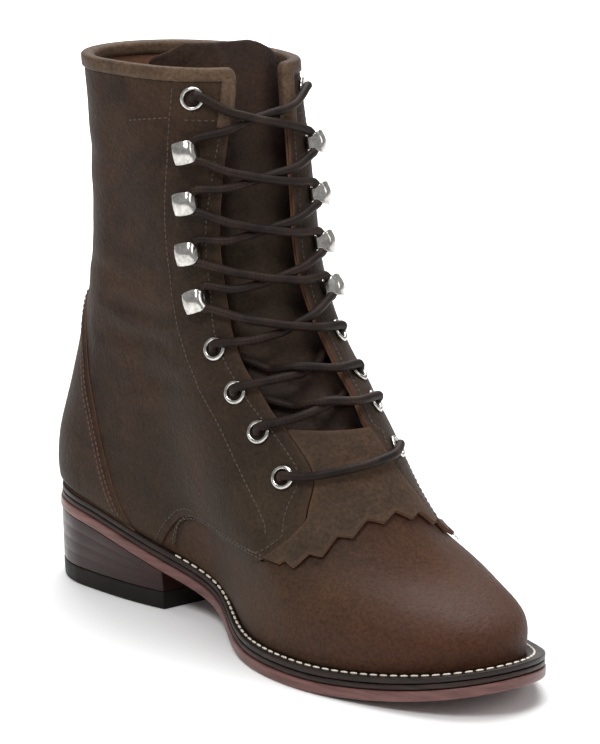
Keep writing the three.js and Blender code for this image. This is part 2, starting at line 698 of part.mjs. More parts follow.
function eyeletBore(spot, sign) {
  const frame = laceFrame(spot, sign, 0);
  const reach = 2 * (WALL + LAP);
  const drill = new THREE.CylinderGeometry(BORE_RADIUS, BORE_RADIUS, 2 * reach, EYELET_SIDES);
  const turn = new THREE.Quaternion().setFromUnitVectors(new THREE.Vector3(0, 1, 0), frame.out);
  drill.applyQuaternion(turn);
  drill.translate(...frame.origin.toArray());
  return toSolid(drill);
}

function makeEyelet(spot, sign) {
  const hole = EYELET_HOLE / 2;
  const barrel = hole + EYELET_BARREL;
  const rim = EYELET_RIM / 2;
  const foot = -(WALL + LAP + GAP);
  const top = EYELET_GAP + EYELET_THICK;
  const profile = [[hole, foot], [barrel, foot], [barrel, EYELET_GAP], [rim, EYELET_GAP],
    [rim - EYELET_THICK / 2, top], [hole, top]];
  return lathed(profile, EYELET_SIDES, laceFrame(spot, sign, LAP));
}

// A lace hook: a base plate, a neck on the throat's side and a lip bent back over the lace
function makeHook(spot, sign) {
  const frame = laceFrame(spot, sign, LAP);
  const room = LACE + 2 * GAP;
  const shape = new THREE.Shape(HOOK_SECTION.map((p) =>
    new THREE.Vector2(p.along * HOOK_LENGTH / 2, GAP + p.plates * HOOK_PLATE + p.room * room)));
  const geometry = new THREE.ExtrudeGeometry(shape, { depth: HOOK_WIDTH, bevelEnabled: false, steps: 1 });
  geometry.translate(0, 0, -HOOK_WIDTH / 2);
  const third = frame.away.clone().cross(frame.out);
  geometry.applyMatrix4(new THREE.Matrix4().makeBasis(frame.away, frame.out, third));
  geometry.translate(...frame.origin.toArray());
  return geometry;
}

function makeCounter() {
  const rows = rowsBetween(...COUNTER_ROWS);
  const columns = columnsBetween(COUNTER_COLUMN, 2 - COUNTER_COLUMN);
  const low = LAP + GAP;
  const form = toSolid(shell(patch(rows, columns, low + COUNTER), patch(rows, columns, low), false));
  const edge = curveThrough(sideOutline(COUNTER_EDGE), 12);
  const [endX] = edge.at(-1);
  const outline = [...edge, [endX, -HEEL_HEIGHT], [-LENGTH, -HEEL_HEIGHT], [-LENGTH, edge[0][1]]];
  return toGeometry(form.intersect(prism(outline, 'y', -BALL_WIDTH, BALL_WIDTH)));
}

// The bound edge of the collar: a folded strip over the rim, from flap to flap round the back
function makeBinding() {
  const rowRise = lastPoint(1, 1).z - lastPoint(1 - 1 / ROWS, 1).z;
  const depth = BINDING_DEPTH / rowRise / ROWS;
  const columns = columnsBetween(bindingStart(-INNER_SIDE), 2 - bindingStart(INNER_SIDE));
  const folded = columns.map((v) => {
    const point = (u, offset, lift) => offsetPoint(u, v, offset).add(new THREE.Vector3(0, 0, lift));
    const out = LAP + GAP;
    const inn = -WALL - GAP;
    return [point(1 - depth, out, 0), point(1 - depth, out + BINDING, 0), point(1, out + BINDING, GAP),
      point(1, out, GAP + BINDING), point(1, inn, GAP + BINDING), point(1, inn - BINDING, GAP),
      point(1 - depth, inn - BINDING, 0), point(1 - depth, inn, 0), point(1, inn, GAP), point(1, out, GAP)];
  });
  return sweep(folded);
}

// The share of half a loop at which the collar reaches the throat's edge on one side
function bindingStart(sign) {
  const edge = throatEdge(COLLAR_FRONT_Z, sign);
  let v = 0;
  while (sign * (lastPoint(1, sign * v).y - edge) < GAP) v += NUDGE / 2;
  return v;
}

// Triangles that close the end of the folded strip's ten-point section
const foldCap = [[0, 1, 2], [0, 2, 9], [2, 3, 9], [3, 4, 9], [4, 8, 9], [4, 5, 8], [5, 6, 8], [6, 7, 8]];

// A closed solid through the folded strip's sections
function sweep(sections) {
  const n = sections[0].length;
  const faces = [];
  for (let i = 0; i < sections.length - 1; i++) {
    for (let j = 0; j < n; j++) {
      const k = (j + 1) % n;
      const [a, b, c, d] = [i * n + j, i * n + k, (i + 1) * n + k, (i + 1) * n + j];
      faces.push(a, c, b, a, d, c);
    }
  }
  const cap = (base, flip) => {
    for (const [p, q, r] of foldCap) faces.push(base + p, base + (flip ? r : q), base + (flip ? q : r));
  };
  cap(0, false);
  cap((sections.length - 1) * n, true);
  return closedGeometry(sections.flat(), faces);
}
const TONGUE_OFFSET = -(WALL + LACE + 5 * GAP);

function makeTongue() {
  const rowRise = lastPoint(1, 0).z - lastPoint(1 - 1 / ROWS, 0).z;
  const top = 1 + (COLLAR_RISE + TONGUE_REACH) / rowRise / ROWS;
  const half = (u) => lerp(TONGUE_FOOT_HALF, TONGUE_HALF, smooth((u - TONGUE_FOOT) / TONGUE_GROWS))
    * (1 - TONGUE_SHRINK * smooth((u - 1) / (top - 1)));
  const across = steps(-1, 1, TONGUE_COLUMNS);
  const grid = (offset) => steps(TONGUE_FOOT, top, TONGUE_ROWS).map((u) =>
    across.map((share) => offsetPoint(u, INNER_SIDE * TONGUE_SHIFT + share * half(u), offset)));
  return shell(grid(TONGUE_OFFSET), grid(TONGUE_OFFSET - TONGUE), false);
}

// The teeth of the fringe, in plan, on an arc from side to side
function kiltieOutline() {
  const centreX = KILTIE_SIDE * LENGTH;
  const reach = (KILTIE_FRONT - KILTIE_SIDE) * LENGTH;
  const half = KILTIE_HALF * BALL_WIDTH;
  const arc = (angle, pull) => [centreX + (reach - pull) * Math.cos(angle), (half - pull) * Math.sin(angle)];
  const span = Math.PI / 2;
  const points = [];
  for (let i = 0; i < KILTIE_TEETH; i++) {
    const tip = lerp(-span, span, (i + 0.5) / KILTIE_TEETH);
    const notch = lerp(-span, span, (i + 1) / KILTIE_TEETH);
    points.push(arc(tip, 0));
    if (i < KILTIE_TEETH - 1) points.push(arc(notch, KILTIE_NOTCH));
  }
  const back = KILTIE_BACK * LENGTH;
  return [[back, -half], [centreX, -half], ...points, [centreX, half], [back, half]];
}

function makeKiltie() {
  const rows = rowsBetween(...KILTIE_ROWS);
  const columns = columnsBetween(-KILTIE_COLUMN, KILTIE_COLUMN);
  const form = toSolid(shell(patch(rows, columns, GAP + KILTIE), patch(rows, columns, GAP), false));
  const top = INSTEP_HEIGHT * KILTIE_TOP + BUILD_UP;
  const flaps = quarterPrism(EDGE_GAP);
  const roof = prism([[-LENGTH, top], [LENGTH, top], [LENGTH, 2 * COLLAR_Z], [-LENGTH, 2 * COLLAR_Z]],
    'y', -BALL_WIDTH, BALL_WIDTH);
  const teeth = prism(kiltieOutline(), 'z', 0, 2 * COLLAR_Z);
  return toGeometry(form.intersect(teeth).subtract(flaps).subtract(roof));
}

// Laces

const LACE_ABOVE = LAP + LACE / 2 + 2 * GAP;
const LACE_BELOW = -(WALL + LACE / 2 + 2 * GAP);

// A strand from one side to the other. Each knot is [way across, offset from the last].
function strand(from, to, sign, knots) {
  const points = knots.map(([t, offset]) => {
    const row = lerp(lacingRow(from, sign), lacingRow(to, -sign), t) + from.bow * Math.sin(Math.PI * t);
    return offsetPoint(row, lerp(lacingColumn(from, sign), lacingColumn(to, -sign), t), offset);
  });
  const path = new THREE.CatmullRomCurve3(points);
  const section = new THREE.Shape(Array.from({ length: LACE_SIDES }, (_, i) => {
    const angle = 2 * Math.PI * i / LACE_SIDES;
    return new THREE.Vector2(Math.cos(angle), Math.sin(angle)).multiplyScalar(LACE / 2);
  }));
  return toSolid(new THREE.ExtrudeGeometry(section, { steps: LACE_STEPS, extrudePath: path }));
}

const MIDDLE_OFFSET = LACE / 2;

function makeLaceBar() {
  const [first] = LACING;
  const over = LACE_ABOVE + KILTIE;
  const knots = [[LACE_START, LACE_ABOVE], [LACE_EDGE, over], [LACE_MIDDLE, over],
    [1 - LACE_EDGE, over], [1 - LACE_START, LACE_ABOVE]];
  return toGeometry(strand(first, first, INNER_SIDE, knots));
}

// Two strands that cross and are joined. Between eyelets each ends under the other flap.
function makeLaceCross(index) {
  const from = { ...LACING[index] };
  const to = { ...LACING[index + 1] };
  if (from.kind === 'hook') from.row += HOOK_SHIFT;
  if (to.kind === 'hook') to.row -= HOOK_SHIFT;
  const under = to.kind === 'eyelet' && index < LACING.length - 2;
  const overFlap = LACE_ABOVE + 3 * GAP;
  const underFlap = LACE_BELOW - GAP;
  const end = under
    ? [[LACE_DIP, MIDDLE_OFFSET - DIP_DEPTH], [LACE_UNDER, LACE_BELOW],
      [LACE_HIDDEN, underFlap], [LACE_END, underFlap]]
    : [[1 - LACE_EDGE, overFlap], [1 - LACE_START, LACE_ABOVE]];
  const knots = [[LACE_START, LACE_ABOVE], [LACE_EDGE, overFlap], [LACE_MIDDLE, MIDDLE_OFFSET], ...end];
  const strands = SIDES.map(({ sign }) => strand(from, to, sign, knots));
  return toGeometry(strands[0].add(strands[1]));
}

// Assembly

const PAINT = {
  leather: { color: 0x4a3a30, roughness: 0.75, metalness: 0 },
  kiltie: { color: 0x4d3c31, roughness: 0.78, metalness: 0 },
  binding: { color: 0x5f4f42, roughness: 0.7, metalness: 0 },
  tongue: { color: 0x423530, roughness: 0.75, metalness: 0 },
  lining: { color: 0x8a6a4c, roughness: 0.8, metalness: 0 },
  edge: { color: 0x33241d, roughness: 0.55, metalness: 0 },
  outsole: { color: 0x6e4b46, roughness: 0.5, metalness: 0 },
  heel: { color: 0x43241c, roughness: 0.4, metalness: 0 },
  rubber: { color: 0x17130f, roughness: 0.6, metalness: 0 },
  nickel: { color: 0xc9c7c2, roughness: 0.25, metalness: 1 },
  lace: { color: 0x33261f, roughness: 0.7, metalness: 0 },
};

const boot = new THREE.Group();
const onHeel = new THREE.Group();
onHeel.position.set(-HEEL_LENGTH / 2, 0, 0);
boot.add(onHeel);

function addPiece(name, geometry, paint) {
  const mesh = new THREE.Mesh(geometry, new THREE.MeshStandardMaterial(PAINT[paint]));
  mesh.name = name;
  onHeel.add(mesh);
}

addPiece('heel_cap', makeHeelCap(), 'rubber');
addPiece('heel_stack', makeHeelStack(), 'heel');
addPiece('outsole', makeOutsole(), 'outsole');
addPiece('midsole', makeMidsole(), 'edge');
addPiece('welt', makeWelt(), 'edge');
addPiece('insole', makeInsole(), 'lining');
addPiece('upper', makeUpper(), 'leather');
addPiece('tongue', makeTongue(), 'tongue');
addPiece('counter', makeCounter(), 'leather');
addPiece('collar_binding', makeBinding(), 'binding');
addPiece('kiltie', makeKiltie(), 'kiltie');

LACING.forEach((spot, index) => {
  const make = spot.kind === 'hook' ? makeHook : makeEyelet;
  for (const { name, sign } of SIDES) {
    addPiece(`${spot.kind}_${name}_${index + 1}`, make(spot, sign), 'nickel');
  }
});

addPiece('lace_bar_1', makeLaceBar(), 'lace');
for (let index = 1; index < LACING.length - 1; index++) {
  addPiece(`lace_cross_${index + 1}`, makeLaceCross(index), 'lace');
}

export default boot;
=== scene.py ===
import json
import math

import bmesh
import bpy
import numpy as np
from mathutils import Matrix, Vector
from mathutils.kdtree import KDTree

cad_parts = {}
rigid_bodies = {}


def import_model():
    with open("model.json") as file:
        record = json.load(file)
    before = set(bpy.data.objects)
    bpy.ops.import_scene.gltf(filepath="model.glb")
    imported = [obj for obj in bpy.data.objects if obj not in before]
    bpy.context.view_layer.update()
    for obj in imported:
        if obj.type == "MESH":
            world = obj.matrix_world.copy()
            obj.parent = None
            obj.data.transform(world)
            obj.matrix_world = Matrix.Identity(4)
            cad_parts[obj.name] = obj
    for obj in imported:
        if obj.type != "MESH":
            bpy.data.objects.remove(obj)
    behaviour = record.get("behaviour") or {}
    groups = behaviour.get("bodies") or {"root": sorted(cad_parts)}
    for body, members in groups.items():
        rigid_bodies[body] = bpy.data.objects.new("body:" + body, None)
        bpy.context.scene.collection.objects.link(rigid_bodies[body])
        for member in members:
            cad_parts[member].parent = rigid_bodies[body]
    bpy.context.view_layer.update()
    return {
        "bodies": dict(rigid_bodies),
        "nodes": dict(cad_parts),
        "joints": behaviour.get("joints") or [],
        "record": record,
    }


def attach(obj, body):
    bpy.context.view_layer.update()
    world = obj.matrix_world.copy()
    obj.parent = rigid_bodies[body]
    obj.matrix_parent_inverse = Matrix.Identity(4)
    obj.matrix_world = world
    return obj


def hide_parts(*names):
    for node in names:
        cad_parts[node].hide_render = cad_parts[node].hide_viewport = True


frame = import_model()

# Lengths are in millimetres, with x from the back of the sole, and go to metres when a mesh is made

# Sizes of the boot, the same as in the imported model
LENGTH = 281.0
BALL_WIDTH = 100.0
HEEL_HEIGHT = 32.0
INSTEP_HEIGHT = 90.0
SHAFT_HEIGHT = 197.5
COLLAR_RISE = 2.0
TOE_SPRING = 12.0
OUTSOLE = 4.6
MIDSOLE = 2.4
WELT = 2.6
WELT_MARGIN = 6.0
WELT_INSIDE = 6.0
HEEL_LENGTH = 87.0
HEEL_CAP = 8.0
HEEL_INSET = 0.6
HEEL_TAPER = 2.0
WALL = 2.2
LAP = 1.4
BINDING = 0.9
COUNTER = 1.2
KILTIE = 1.4
TONGUE = 3.0
TONGUE_REACH = 7.0
THROAT_WIDTH = 32.0
EYELET_HOLE = 6.4
EYELET_RIM = 10.6
LACE = 4.0
GAP = 0.3
EDGE_GAP = 0.5

FEATHER_COLUMNS = ("at", "half", "shift", "margin")
FEATHER = [
    (0.00, 0.352, 0.010, 0.50),
    (0.13, 0.358, 0.008, 0.43),
    (0.30, 0.323, -0.010, 0.43),
    (0.42, 0.304, -0.052, 0.50),
    (0.55, 0.423, -0.012, 0.70),
    (0.68, 0.505, 0.006, 0.92),
    (0.80, 0.477, 0.012, 1.03),
    (0.90, 0.424, 0.034, 1.25),
    (1.00, 0.402, 0.050, 1.58),
]
LAST_COLUMNS = ("back", "back_x", "ridge_x", "rise", "heel", "waist", "ball", "nose", "square", "round",
                "follow")
LAST = [
    (0.000, 0.0107, 0.966, 0.000, 0.326, 0.300, 0.480, 0.270, 2.15, 0.35, 1.00),
    (0.046, 0.0068, 0.963, 0.076, 0.350, 0.345, 0.498, 0.285, 2.15, 0.36, 0.80),
    (0.090, 0.0050, 0.951, 0.156, 0.358, 0.370, 0.500, 0.299, 2.15, 0.36, 0.60),
    (0.134, 0.0068, 0.911, 0.225, 0.360, 0.386, 0.490, 0.313, 2.15, 0.36, 0.42),
    (0.178, 0.0135, 0.853, 0.280, 0.358, 0.396, 0.476, 0.327, 2.15, 0.36, 0.26),
    (0.226, 0.0224, 0.799, 0.355, 0.354, 0.396, 0.458, 0.327, 2.10, 0.35, 0.13),
    (0.275, 0.0324, 0.747, 0.521, 0.349, 0.392, 0.435, 0.313, 2.05, 0.34, 0.04),
    (0.329, 0.0413, 0.694, 0.737, 0.344, 0.384, 0.415, 0.285, 2.00, 0.34, 0.00),
    (0.392, 0.0490, 0.627, 1.000, 0.340, 0.372, 0.390, 0.256, 2.00, 0.33, 0.00),
    (0.460, 0.0555, 0.565, 1.115, 0.343, 0.365, 0.373, 0.221, 2.10, 0.32, 0.00),
    (0.528, 0.0616, 0.514, 1.228, 0.345, 0.361, 0.361, 0.199, 2.19, 0.32, 0.00),
    (0.596, 0.0670, 0.479, 1.340, 0.351, 0.363, 0.361, 0.185, 2.27, 0.32, 0.00),
    (0.669, 0.0694, 0.454, 1.462, 0.359, 0.369, 0.367, 0.185, 2.36, 0.32, 0.00),
    (0.747, 0.0673, 0.436, 1.592, 0.370, 0.380, 0.378, 0.185, 2.44, 0.33, 0.00),
    (0.830, 0.0616, 0.414, 1.728, 0.382, 0.392, 0.390, 0.185, 2.53, 0.34, 0.00),
    (0.917, 0.0540, 0.391, 1.867, 0.396, 0.406, 0.402, 0.185, 2.61, 0.35, 0.00),
    (1.000, 0.0480, 0.370, 2.000, 0.408, 0.418, 0.412, 0.185, 2.70, 0.36, 0.00),
]
WIDTH_STATIONS = (0.13, 0.42, 0.70)
SEAT_END = 0.064
TREAD_START = 0.60
TREAD_END = 0.705
CURVE_FADE = (0.21, 0.62)

# Height as a share of the collar's, half width as a share of the throat's, and how far the middle
# lies to the inner side, share of the ball width. The wall is open from the throat's foot upward.
THROAT_FOOT = 0.372
THROAT = [(0.250, 0.860, 0.097), (0.300, 0.680, 0.107), (0.338, 0.545, 0.114), (0.372, 0.505, 0.123),
          (0.410, 0.480, 0.139), (0.480, 0.538, 0.132), (0.600, 0.497, 0.125), (0.780, 0.506, 0.102),
          (1.000, 0.470, 0.000), (1.150, 0.470, -0.050)]
# x as a share of the length, height as a share of the instep's, and how much further forward the
# edge lies on the outer side
QUARTER_EDGE = [(0.300, 0.200, 0.000), (0.335, 0.340, 0.000), (0.372, 0.420, 0.000), (0.440, 0.415, 0.000),
                (0.520, 0.400, 0.000), (0.593, 0.390, 0.000), (0.622, 0.455, 0.040), (0.644, 0.560, 0.075),
                (0.656, 0.670, 0.065), (0.650, 0.770, 0.055), (0.631, 0.870, 0.045), (0.607, 0.960, 0.040)]
COUNTER_EDGE = [(-0.10, 1.360), (0.060, 1.370), (0.088, 1.310), (0.108, 1.180), (0.150, 0.900),
                (0.178, 0.700),
                (0.204, 0.520), (0.230, 0.370), (0.262, 0.220)]
KILTIE_FRONT = 0.738
KILTIE_SIDE = 0.612
KILTIE_HALF = 0.50
KILTIE_TEETH = 11
KILTIE_NOTCH = 2.8
KILTIE_TOP = 0.97
TONGUE_FOOT = 0.36
TONGUE_SHIFT = 0.11
TONGUE_FOOT_HALF = 0.20
TONGUE_HALF = 0.30
TONGUE_GROWS = 0.20
TONGUE_SHRINK = 0.42

# Share of the way up the last, shift to the inner side and half width as shares of half a loop, how
# much higher the row lies on the outer side, how far the lace above it climbs, and the kind
LACING_COLUMNS = ("row", "shift", "across", "outer", "bow", "kind")
LACING = [dict(zip(LACING_COLUMNS, row)) for row in [
    (0.421, 0.070, 0.202, 0.037, 0.010, "eyelet"),
    (0.469, 0.086, 0.212, 0.040, 0.008, "eyelet"),
    (0.513, 0.100, 0.222, 0.040, 0.006, "eyelet"),
    (0.583, 0.102, 0.225, 0.032, 0.004, "eyelet"),
    (0.660, 0.102, 0.222, 0.020, 0.002, "hook"),
    (0.738, 0.098, 0.220, 0.012, 0.001, "hook"),
    (0.815, 0.086, 0.214, 0.004, 0.000, "hook"),
    (0.886, 0.060, 0.211, 0.000, 0.000, "hook"),
    (0.960, 0.025, 0.200, 0.000, 0.000, "eyelet"),
]]
INNER_SIDE = -1
SIDES = {"inner": INNER_SIDE, "outer": -INNER_SIDE}
NUDGE = 0.004
LEVEL_REACH = 0.1


# Curves

def natural_spline(xs, ys):
    xs, ys = np.asarray(xs, float), np.asarray(ys, float)
    n, h = len(xs), np.diff(xs)
    upper, right, bend = np.zeros(n), np.zeros(n), np.zeros(n)
    for i in range(1, n - 1):
        pull = (ys[i + 1] - ys[i]) / h[i] - (ys[i] - ys[i - 1]) / h[i - 1]
        pivot = 2 * (h[i - 1] + h[i]) - h[i - 1] * upper[i - 1]
        upper[i] = h[i] / pivot
        right[i] = (6 * pull - h[i - 1] * right[i - 1]) / pivot
    for i in range(n - 2, 0, -1):
        bend[i] = right[i] - upper[i] * bend[i + 1]

    def value(x):
        x = np.asarray(x, float)
        i = np.clip(np.searchsorted(xs, x, side="left") - 1, 0, n - 2)
        t = x - xs[i]
        cubic = (bend[i + 1] - bend[i]) / (6 * h[i])
        linear = (ys[i + 1] - ys[i]) / h[i] - h[i] * (2 * bend[i] + bend[i + 1]) / 6
        return ys[i] + t * (linear + t * (bend[i] / 2 + t * cubic))
    return value


def smooth(t):
    t = np.clip(t, 0, 1)
    return t * t * (3 - 2 * t)


def lerp(a, b, t):
    return a + (b - a) * t


def eased(t):
    return (1 - np.cos(np.pi * np.asarray(t, float))) / 2


# A smooth curve through points of any dimension, count points to each stretch
def curve_through(points, count):
    p = np.asarray(points, float)
    p = np.vstack([2 * p[0] - p[1], p, 2 * p[-1] - p[-2]])
    out = []
    for i in range(1, len(p) - 2):
        t = np.linspace(0, 1, count, endpoint=False)[:, None]
        a, b, c, d = p[i - 1], p[i], p[i + 1], p[i + 2]
        out.append(0.5 * (2 * b + (c - a) * t + (2 * a - 5 * b + 4 * c - d) * t ** 2
                          + (3 * b - a - 3 * c + d) * t ** 3))
    return np.vstack(out + [p[-2:-1]])


def resample(path, step):
    run = np.concatenate([[0], np.cumsum(np.linalg.norm(np.diff(path, axis=0), axis=1))])
    at = np.linspace(0, run[-1], max(int(round(run[-1] / step)), 1) + 1)
    return np.stack([np.interp(at, run, path[:, k]) for k in range(path.shape[1])], axis=1)


# The sole's profile

feather_table = {name: natural_spline([r[0] for r in FEATHER], [r[k] for r in FEATHER])
                 for k, name in enumerate(FEATHER_COLUMNS) if k}
FEATHER_BACK = FEATHER[0][3] * WELT_MARGIN
FEATHER_TOE = LENGTH - FEATHER[-1][3] * WELT_MARGIN
FEATHER_LENGTH = FEATHER_TOE - FEATHER_BACK
BUILD_UP = OUTSOLE + MIDSOLE + WELT + 3 * GAP


def bottom_z(x):
    seat, start, end = SEAT_END * LENGTH, TREAD_START * LENGTH, TREAD_END * LENGTH
    arch = HEEL_HEIGHT * smooth((start - x) / (start - seat))
    spring = TOE_SPRING * (np.maximum(x - end, 0) / (LENGTH - end)) ** 2
    return arch + spring


def feather_z(x):
    return bottom_z(x) + BUILD_UP


SEAT_Z = feather_z(FEATHER_BACK)
INSTEP_Z = BUILD_UP + INSTEP_HEIGHT
COLLAR_Z = SEAT_Z + SHAFT_HEIGHT
COLLAR_FRONT_Z = COLLAR_Z + COLLAR_RISE


def round_end(distance, reach, power):
    return np.maximum(0, 1 - np.clip(1 - distance / reach, 0, 1) ** power) ** (1 / power)


def middle_y(share):
    return INNER_SIDE * feather_table["shift"](share) * BALL_WIDTH


def feather_half(share):
    first = dict(zip(LAST_COLUMNS, LAST[0]))
    return (feather_table["half"](share) * BALL_WIDTH
            * round_end(share * FEATHER_LENGTH, first["round"] * BALL_WIDTH, 2)
            * round_end((1 - share) * FEATHER_LENGTH, first["nose"] * LENGTH, first["square"]))


# The last's surface

row_table = {name: natural_spline(np.linspace(0, 1, len(LAST)), [r[k] for r in LAST])
             for k, name in enumerate(LAST_COLUMNS)}


def ridge_z(rise):
    low = lerp(feather_z(FEATHER_TOE), INSTEP_Z, rise)
    return np.where(rise < 1, low, lerp(INSTEP_Z, COLLAR_FRONT_Z, rise - 1))


def row_half(row, share, span):
    a, b, c = WIDTH_STATIONS
    s = np.clip(share, a, c)
    width = (row["heel"] * (s - b) * (s - c) / ((a - b) * (a - c))
             + row["waist"] * (s - a) * (s - c) / ((b - a) * (b - c))
             + row["ball"] * (s - a) * (s - b) / ((c - a) * (c - b)))
    return (width * BALL_WIDTH * round_end(share * span, row["round"] * BALL_WIDTH, 2)
            * round_end((1 - share) * span, row["nose"] * LENGTH, row["square"]))


def last_inside(u, v):
    turn = v - 2 * np.round(v / 2)
    row = {name: spline(u) for name, spline in row_table.items()}
    back_x = row["back_x"] * LENGTH
    span = row["ridge_x"] * LENGTH - back_x
    share = eased(1 - np.abs(turn))
    line = lerp(SEAT_Z + SHAFT_HEIGHT * row["back"], ridge_z(row["rise"]), share)
    follow = np.clip(row["follow"], 0, 1)
    sag = feather_z(FEATHER_BACK + share * FEATHER_LENGTH) - lerp(SEAT_Z, feather_z(FEATHER_TOE), share)
    z = line + follow * sag
    first = dict(zip(LAST_COLUMNS, LAST[0]))
    correction = feather_half(share) - row_half(first, share, FEATHER_LENGTH)
    half = row_half(row, share, span) + correction * follow * follow
    fade = smooth((CURVE_FADE[1] * COLLAR_Z - z) / ((CURVE_FADE[1] - CURVE_FADE[0]) * COLLAR_Z))
    y = middle_y(share) * fade + np.sign(turn) * np.maximum(half, 0)
    return np.stack([back_x + span * share, y, z], axis=-1)


# Above the collar the last goes on as steeply as it rises over this share below it
LAST_STEP = 1 / 16


# A point of the last: u runs from the feather edge (0) to the collar (1), and v from the
# ridge (0) to the back line (1), positive on the boot's left
def last_point(u, v):
    u, v = np.broadcast_arrays(np.asarray(u, float), np.asarray(v, float))
    point = last_inside(np.minimum(u, 1), v)
    over = np.maximum(u - 1, 0)[..., None]
    if over.any():
        below = last_inside(np.full_like(u, 1 - LAST_STEP), v)
        slope = (last_inside(np.ones_like(u), v) - below) / LAST_STEP
        point = point + slope * over
    return point


def last_normal(u, v):
    u, v = np.broadcast_arrays(np.asarray(u, float), np.asarray(v, float))
    low = np.clip(u - NUDGE, 0, 1 - 2 * NUDGE)
    along = last_inside(low + 2 * NUDGE, v) - last_inside(low, v)
    level_u = np.clip(u, 0, 1)
    across = last_inside(level_u, v + NUDGE) - last_inside(level_u, v - NUDGE)
    normal = np.cross(across, along)
    normal /= np.linalg.norm(normal, axis=-1, keepdims=True)
    level = np.maximum(1 - u / LEVEL_REACH, 1 - (1 - u) / LEVEL_REACH)
    normal[..., 2] *= 1 - np.clip(level, 0, 1)
    return normal / np.linalg.norm(normal, axis=-1, keepdims=True)


def offset_point(u, v, offset):
    return last_point(u, v) + last_normal(u, v) * np.asarray(offset, float)[..., None]


# Fields: distance in millimetres to a cutting outline, positive on the piece's own side

def polyline_distance(points, line):
    best = np.full(points.shape[:-1], np.inf)
    for a, b in zip(line[:-1], line[1:]):
        run = b - a
        t = np.clip(((points - a) @ run) / (run @ run), 0, 1)
        best = np.minimum(best, np.linalg.norm(points - a - t[..., None] * run, axis=-1))
    return best


def inside_polygon(points, polygon):
    inside = np.zeros(points.shape[:-1], bool)
    x, y = points[..., 0], points[..., 1]
    for (ax, ay), (bx, by) in zip(polygon, np.roll(polygon, -1, axis=0)):
        if ay == by:
            continue
        crosses = ((ay > y) != (by > y)) & (x < (bx - ax) * (y - ay) / (by - ay) + ax)
        inside ^= crosses
    return inside


def polygon_field(points, polygon):
    polygon = np.asarray(polygon, float)
    distance = polyline_distance(points, np.vstack([polygon, polygon[:1]]))
    return np.where(inside_polygon(points, polygon), distance, -distance)


def side_outline(table):
    return np.array([[x * LENGTH, BUILD_UP + height * INSTEP_HEIGHT] for x, height in table])


throat_width = natural_spline([r[0] for r in THROAT], [r[1] for r in THROAT])
throat_shift = natural_spline([r[0] for r in THROAT], [r[2] for r in THROAT])
PART_Y = INNER_SIDE * THROAT[0][2] * BALL_WIDTH
# How far forward the gap starts, and below the throat's foot, as shares of the length
THROAT_BACK = 0.24
FLAP_FOOT_BACK = 0.40


def quarter_side_field(p, reach):
    edge = curve_through(side_outline([(x + reach * outer, height) for x, height, outer in QUARTER_EDGE]), 5)
    above, behind, front = COLLAR_Z + INSTEP_HEIGHT, -LENGTH, 0.60 * LENGTH
    outline = [[behind, -HEEL_HEIGHT], [edge[0][0], -HEEL_HEIGHT], *edge,
               [front, INSTEP_Z + INSTEP_HEIGHT / 2], [front, above], [behind, above]]
    return polygon_field(p[..., [0, 2]], outline)


def quarter_field(p):
    return np.where(p[..., 1] < PART_Y, quarter_side_field(p, 0), quarter_side_field(p, 1))


def throat_edge(z, sign):
    height = z / COLLAR_Z
    return INNER_SIDE * throat_shift(height) * BALL_WIDTH + sign * throat_width(height) * THROAT_WIDTH


# Positive outside the gap between the flaps, which lies in the front of the leg and starts at a foot given
# as a share of the collar's height
def gap_field(p, foot):
    z = p[..., 2]
    beyond = np.maximum(p[..., 1] - throat_edge(z, 1), throat_edge(z, -1) - p[..., 1])
    return np.maximum(np.maximum(beyond, foot * COLLAR_Z - z), THROAT_BACK * LENGTH - p[..., 0])


def throat_field(p):
    return gap_field(p, THROAT_FOOT)


def flap_field(p):
    gap = gap_field(p, THROAT[0][0])
    behind = FLAP_FOOT_BACK * LENGTH - p[..., 0]
    below = THROAT_FOOT * COLLAR_Z - p[..., 2]
    closed = np.maximum(gap, np.minimum(behind, below))
    parted = np.where(np.maximum(behind, below) > 0, closed, gap)
    return np.minimum(quarter_field(p), parted)


def counter_field(p):
    edge = curve_through(side_outline(COUNTER_EDGE), 4)
    outline = [*edge, [edge[-1][0], -HEEL_HEIGHT], [-LENGTH, -HEEL_HEIGHT], [-LENGTH, edge[0][1]]]
    return polygon_field(p[..., [0, 2]], outline)


def kiltie_outline():
    centre, half = KILTIE_SIDE * LENGTH, KILTIE_HALF * BALL_WIDTH
    reach = (KILTIE_FRONT - KILTIE_SIDE) * LENGTH

    def arc(angle, pull):
        return [centre + (reach - pull) * math.cos(angle), (half - pull) * math.sin(angle)]
    points = []
    span = math.pi / 2
    for i in range(KILTIE_TEETH):
        points.append(arc(lerp(-span, span, (i + 0.5) / KILTIE_TEETH), 0))
        if i < KILTIE_TEETH - 1:
            points.append(arc(lerp(-span, span, (i + 1) / KILTIE_TEETH), KILTIE_NOTCH))
    back = 0.3 * LENGTH
    return [[back, -half], [centre, -half], *points, [centre, half], [back, half]]


def kiltie_field(p):
    teeth = polygon_field(p[..., [0, 1]], kiltie_outline())
    top = KILTIE_TOP * INSTEP_HEIGHT + BUILD_UP - p[..., 2]
    return np.minimum(np.minimum(teeth, top), -flap_field(p) - EDGE_GAP)


# Meshes

def to_metres(points):
    return (np.asarray(points, float) - [HEEL_LENGTH / 2, 0, 0]) * 0.001


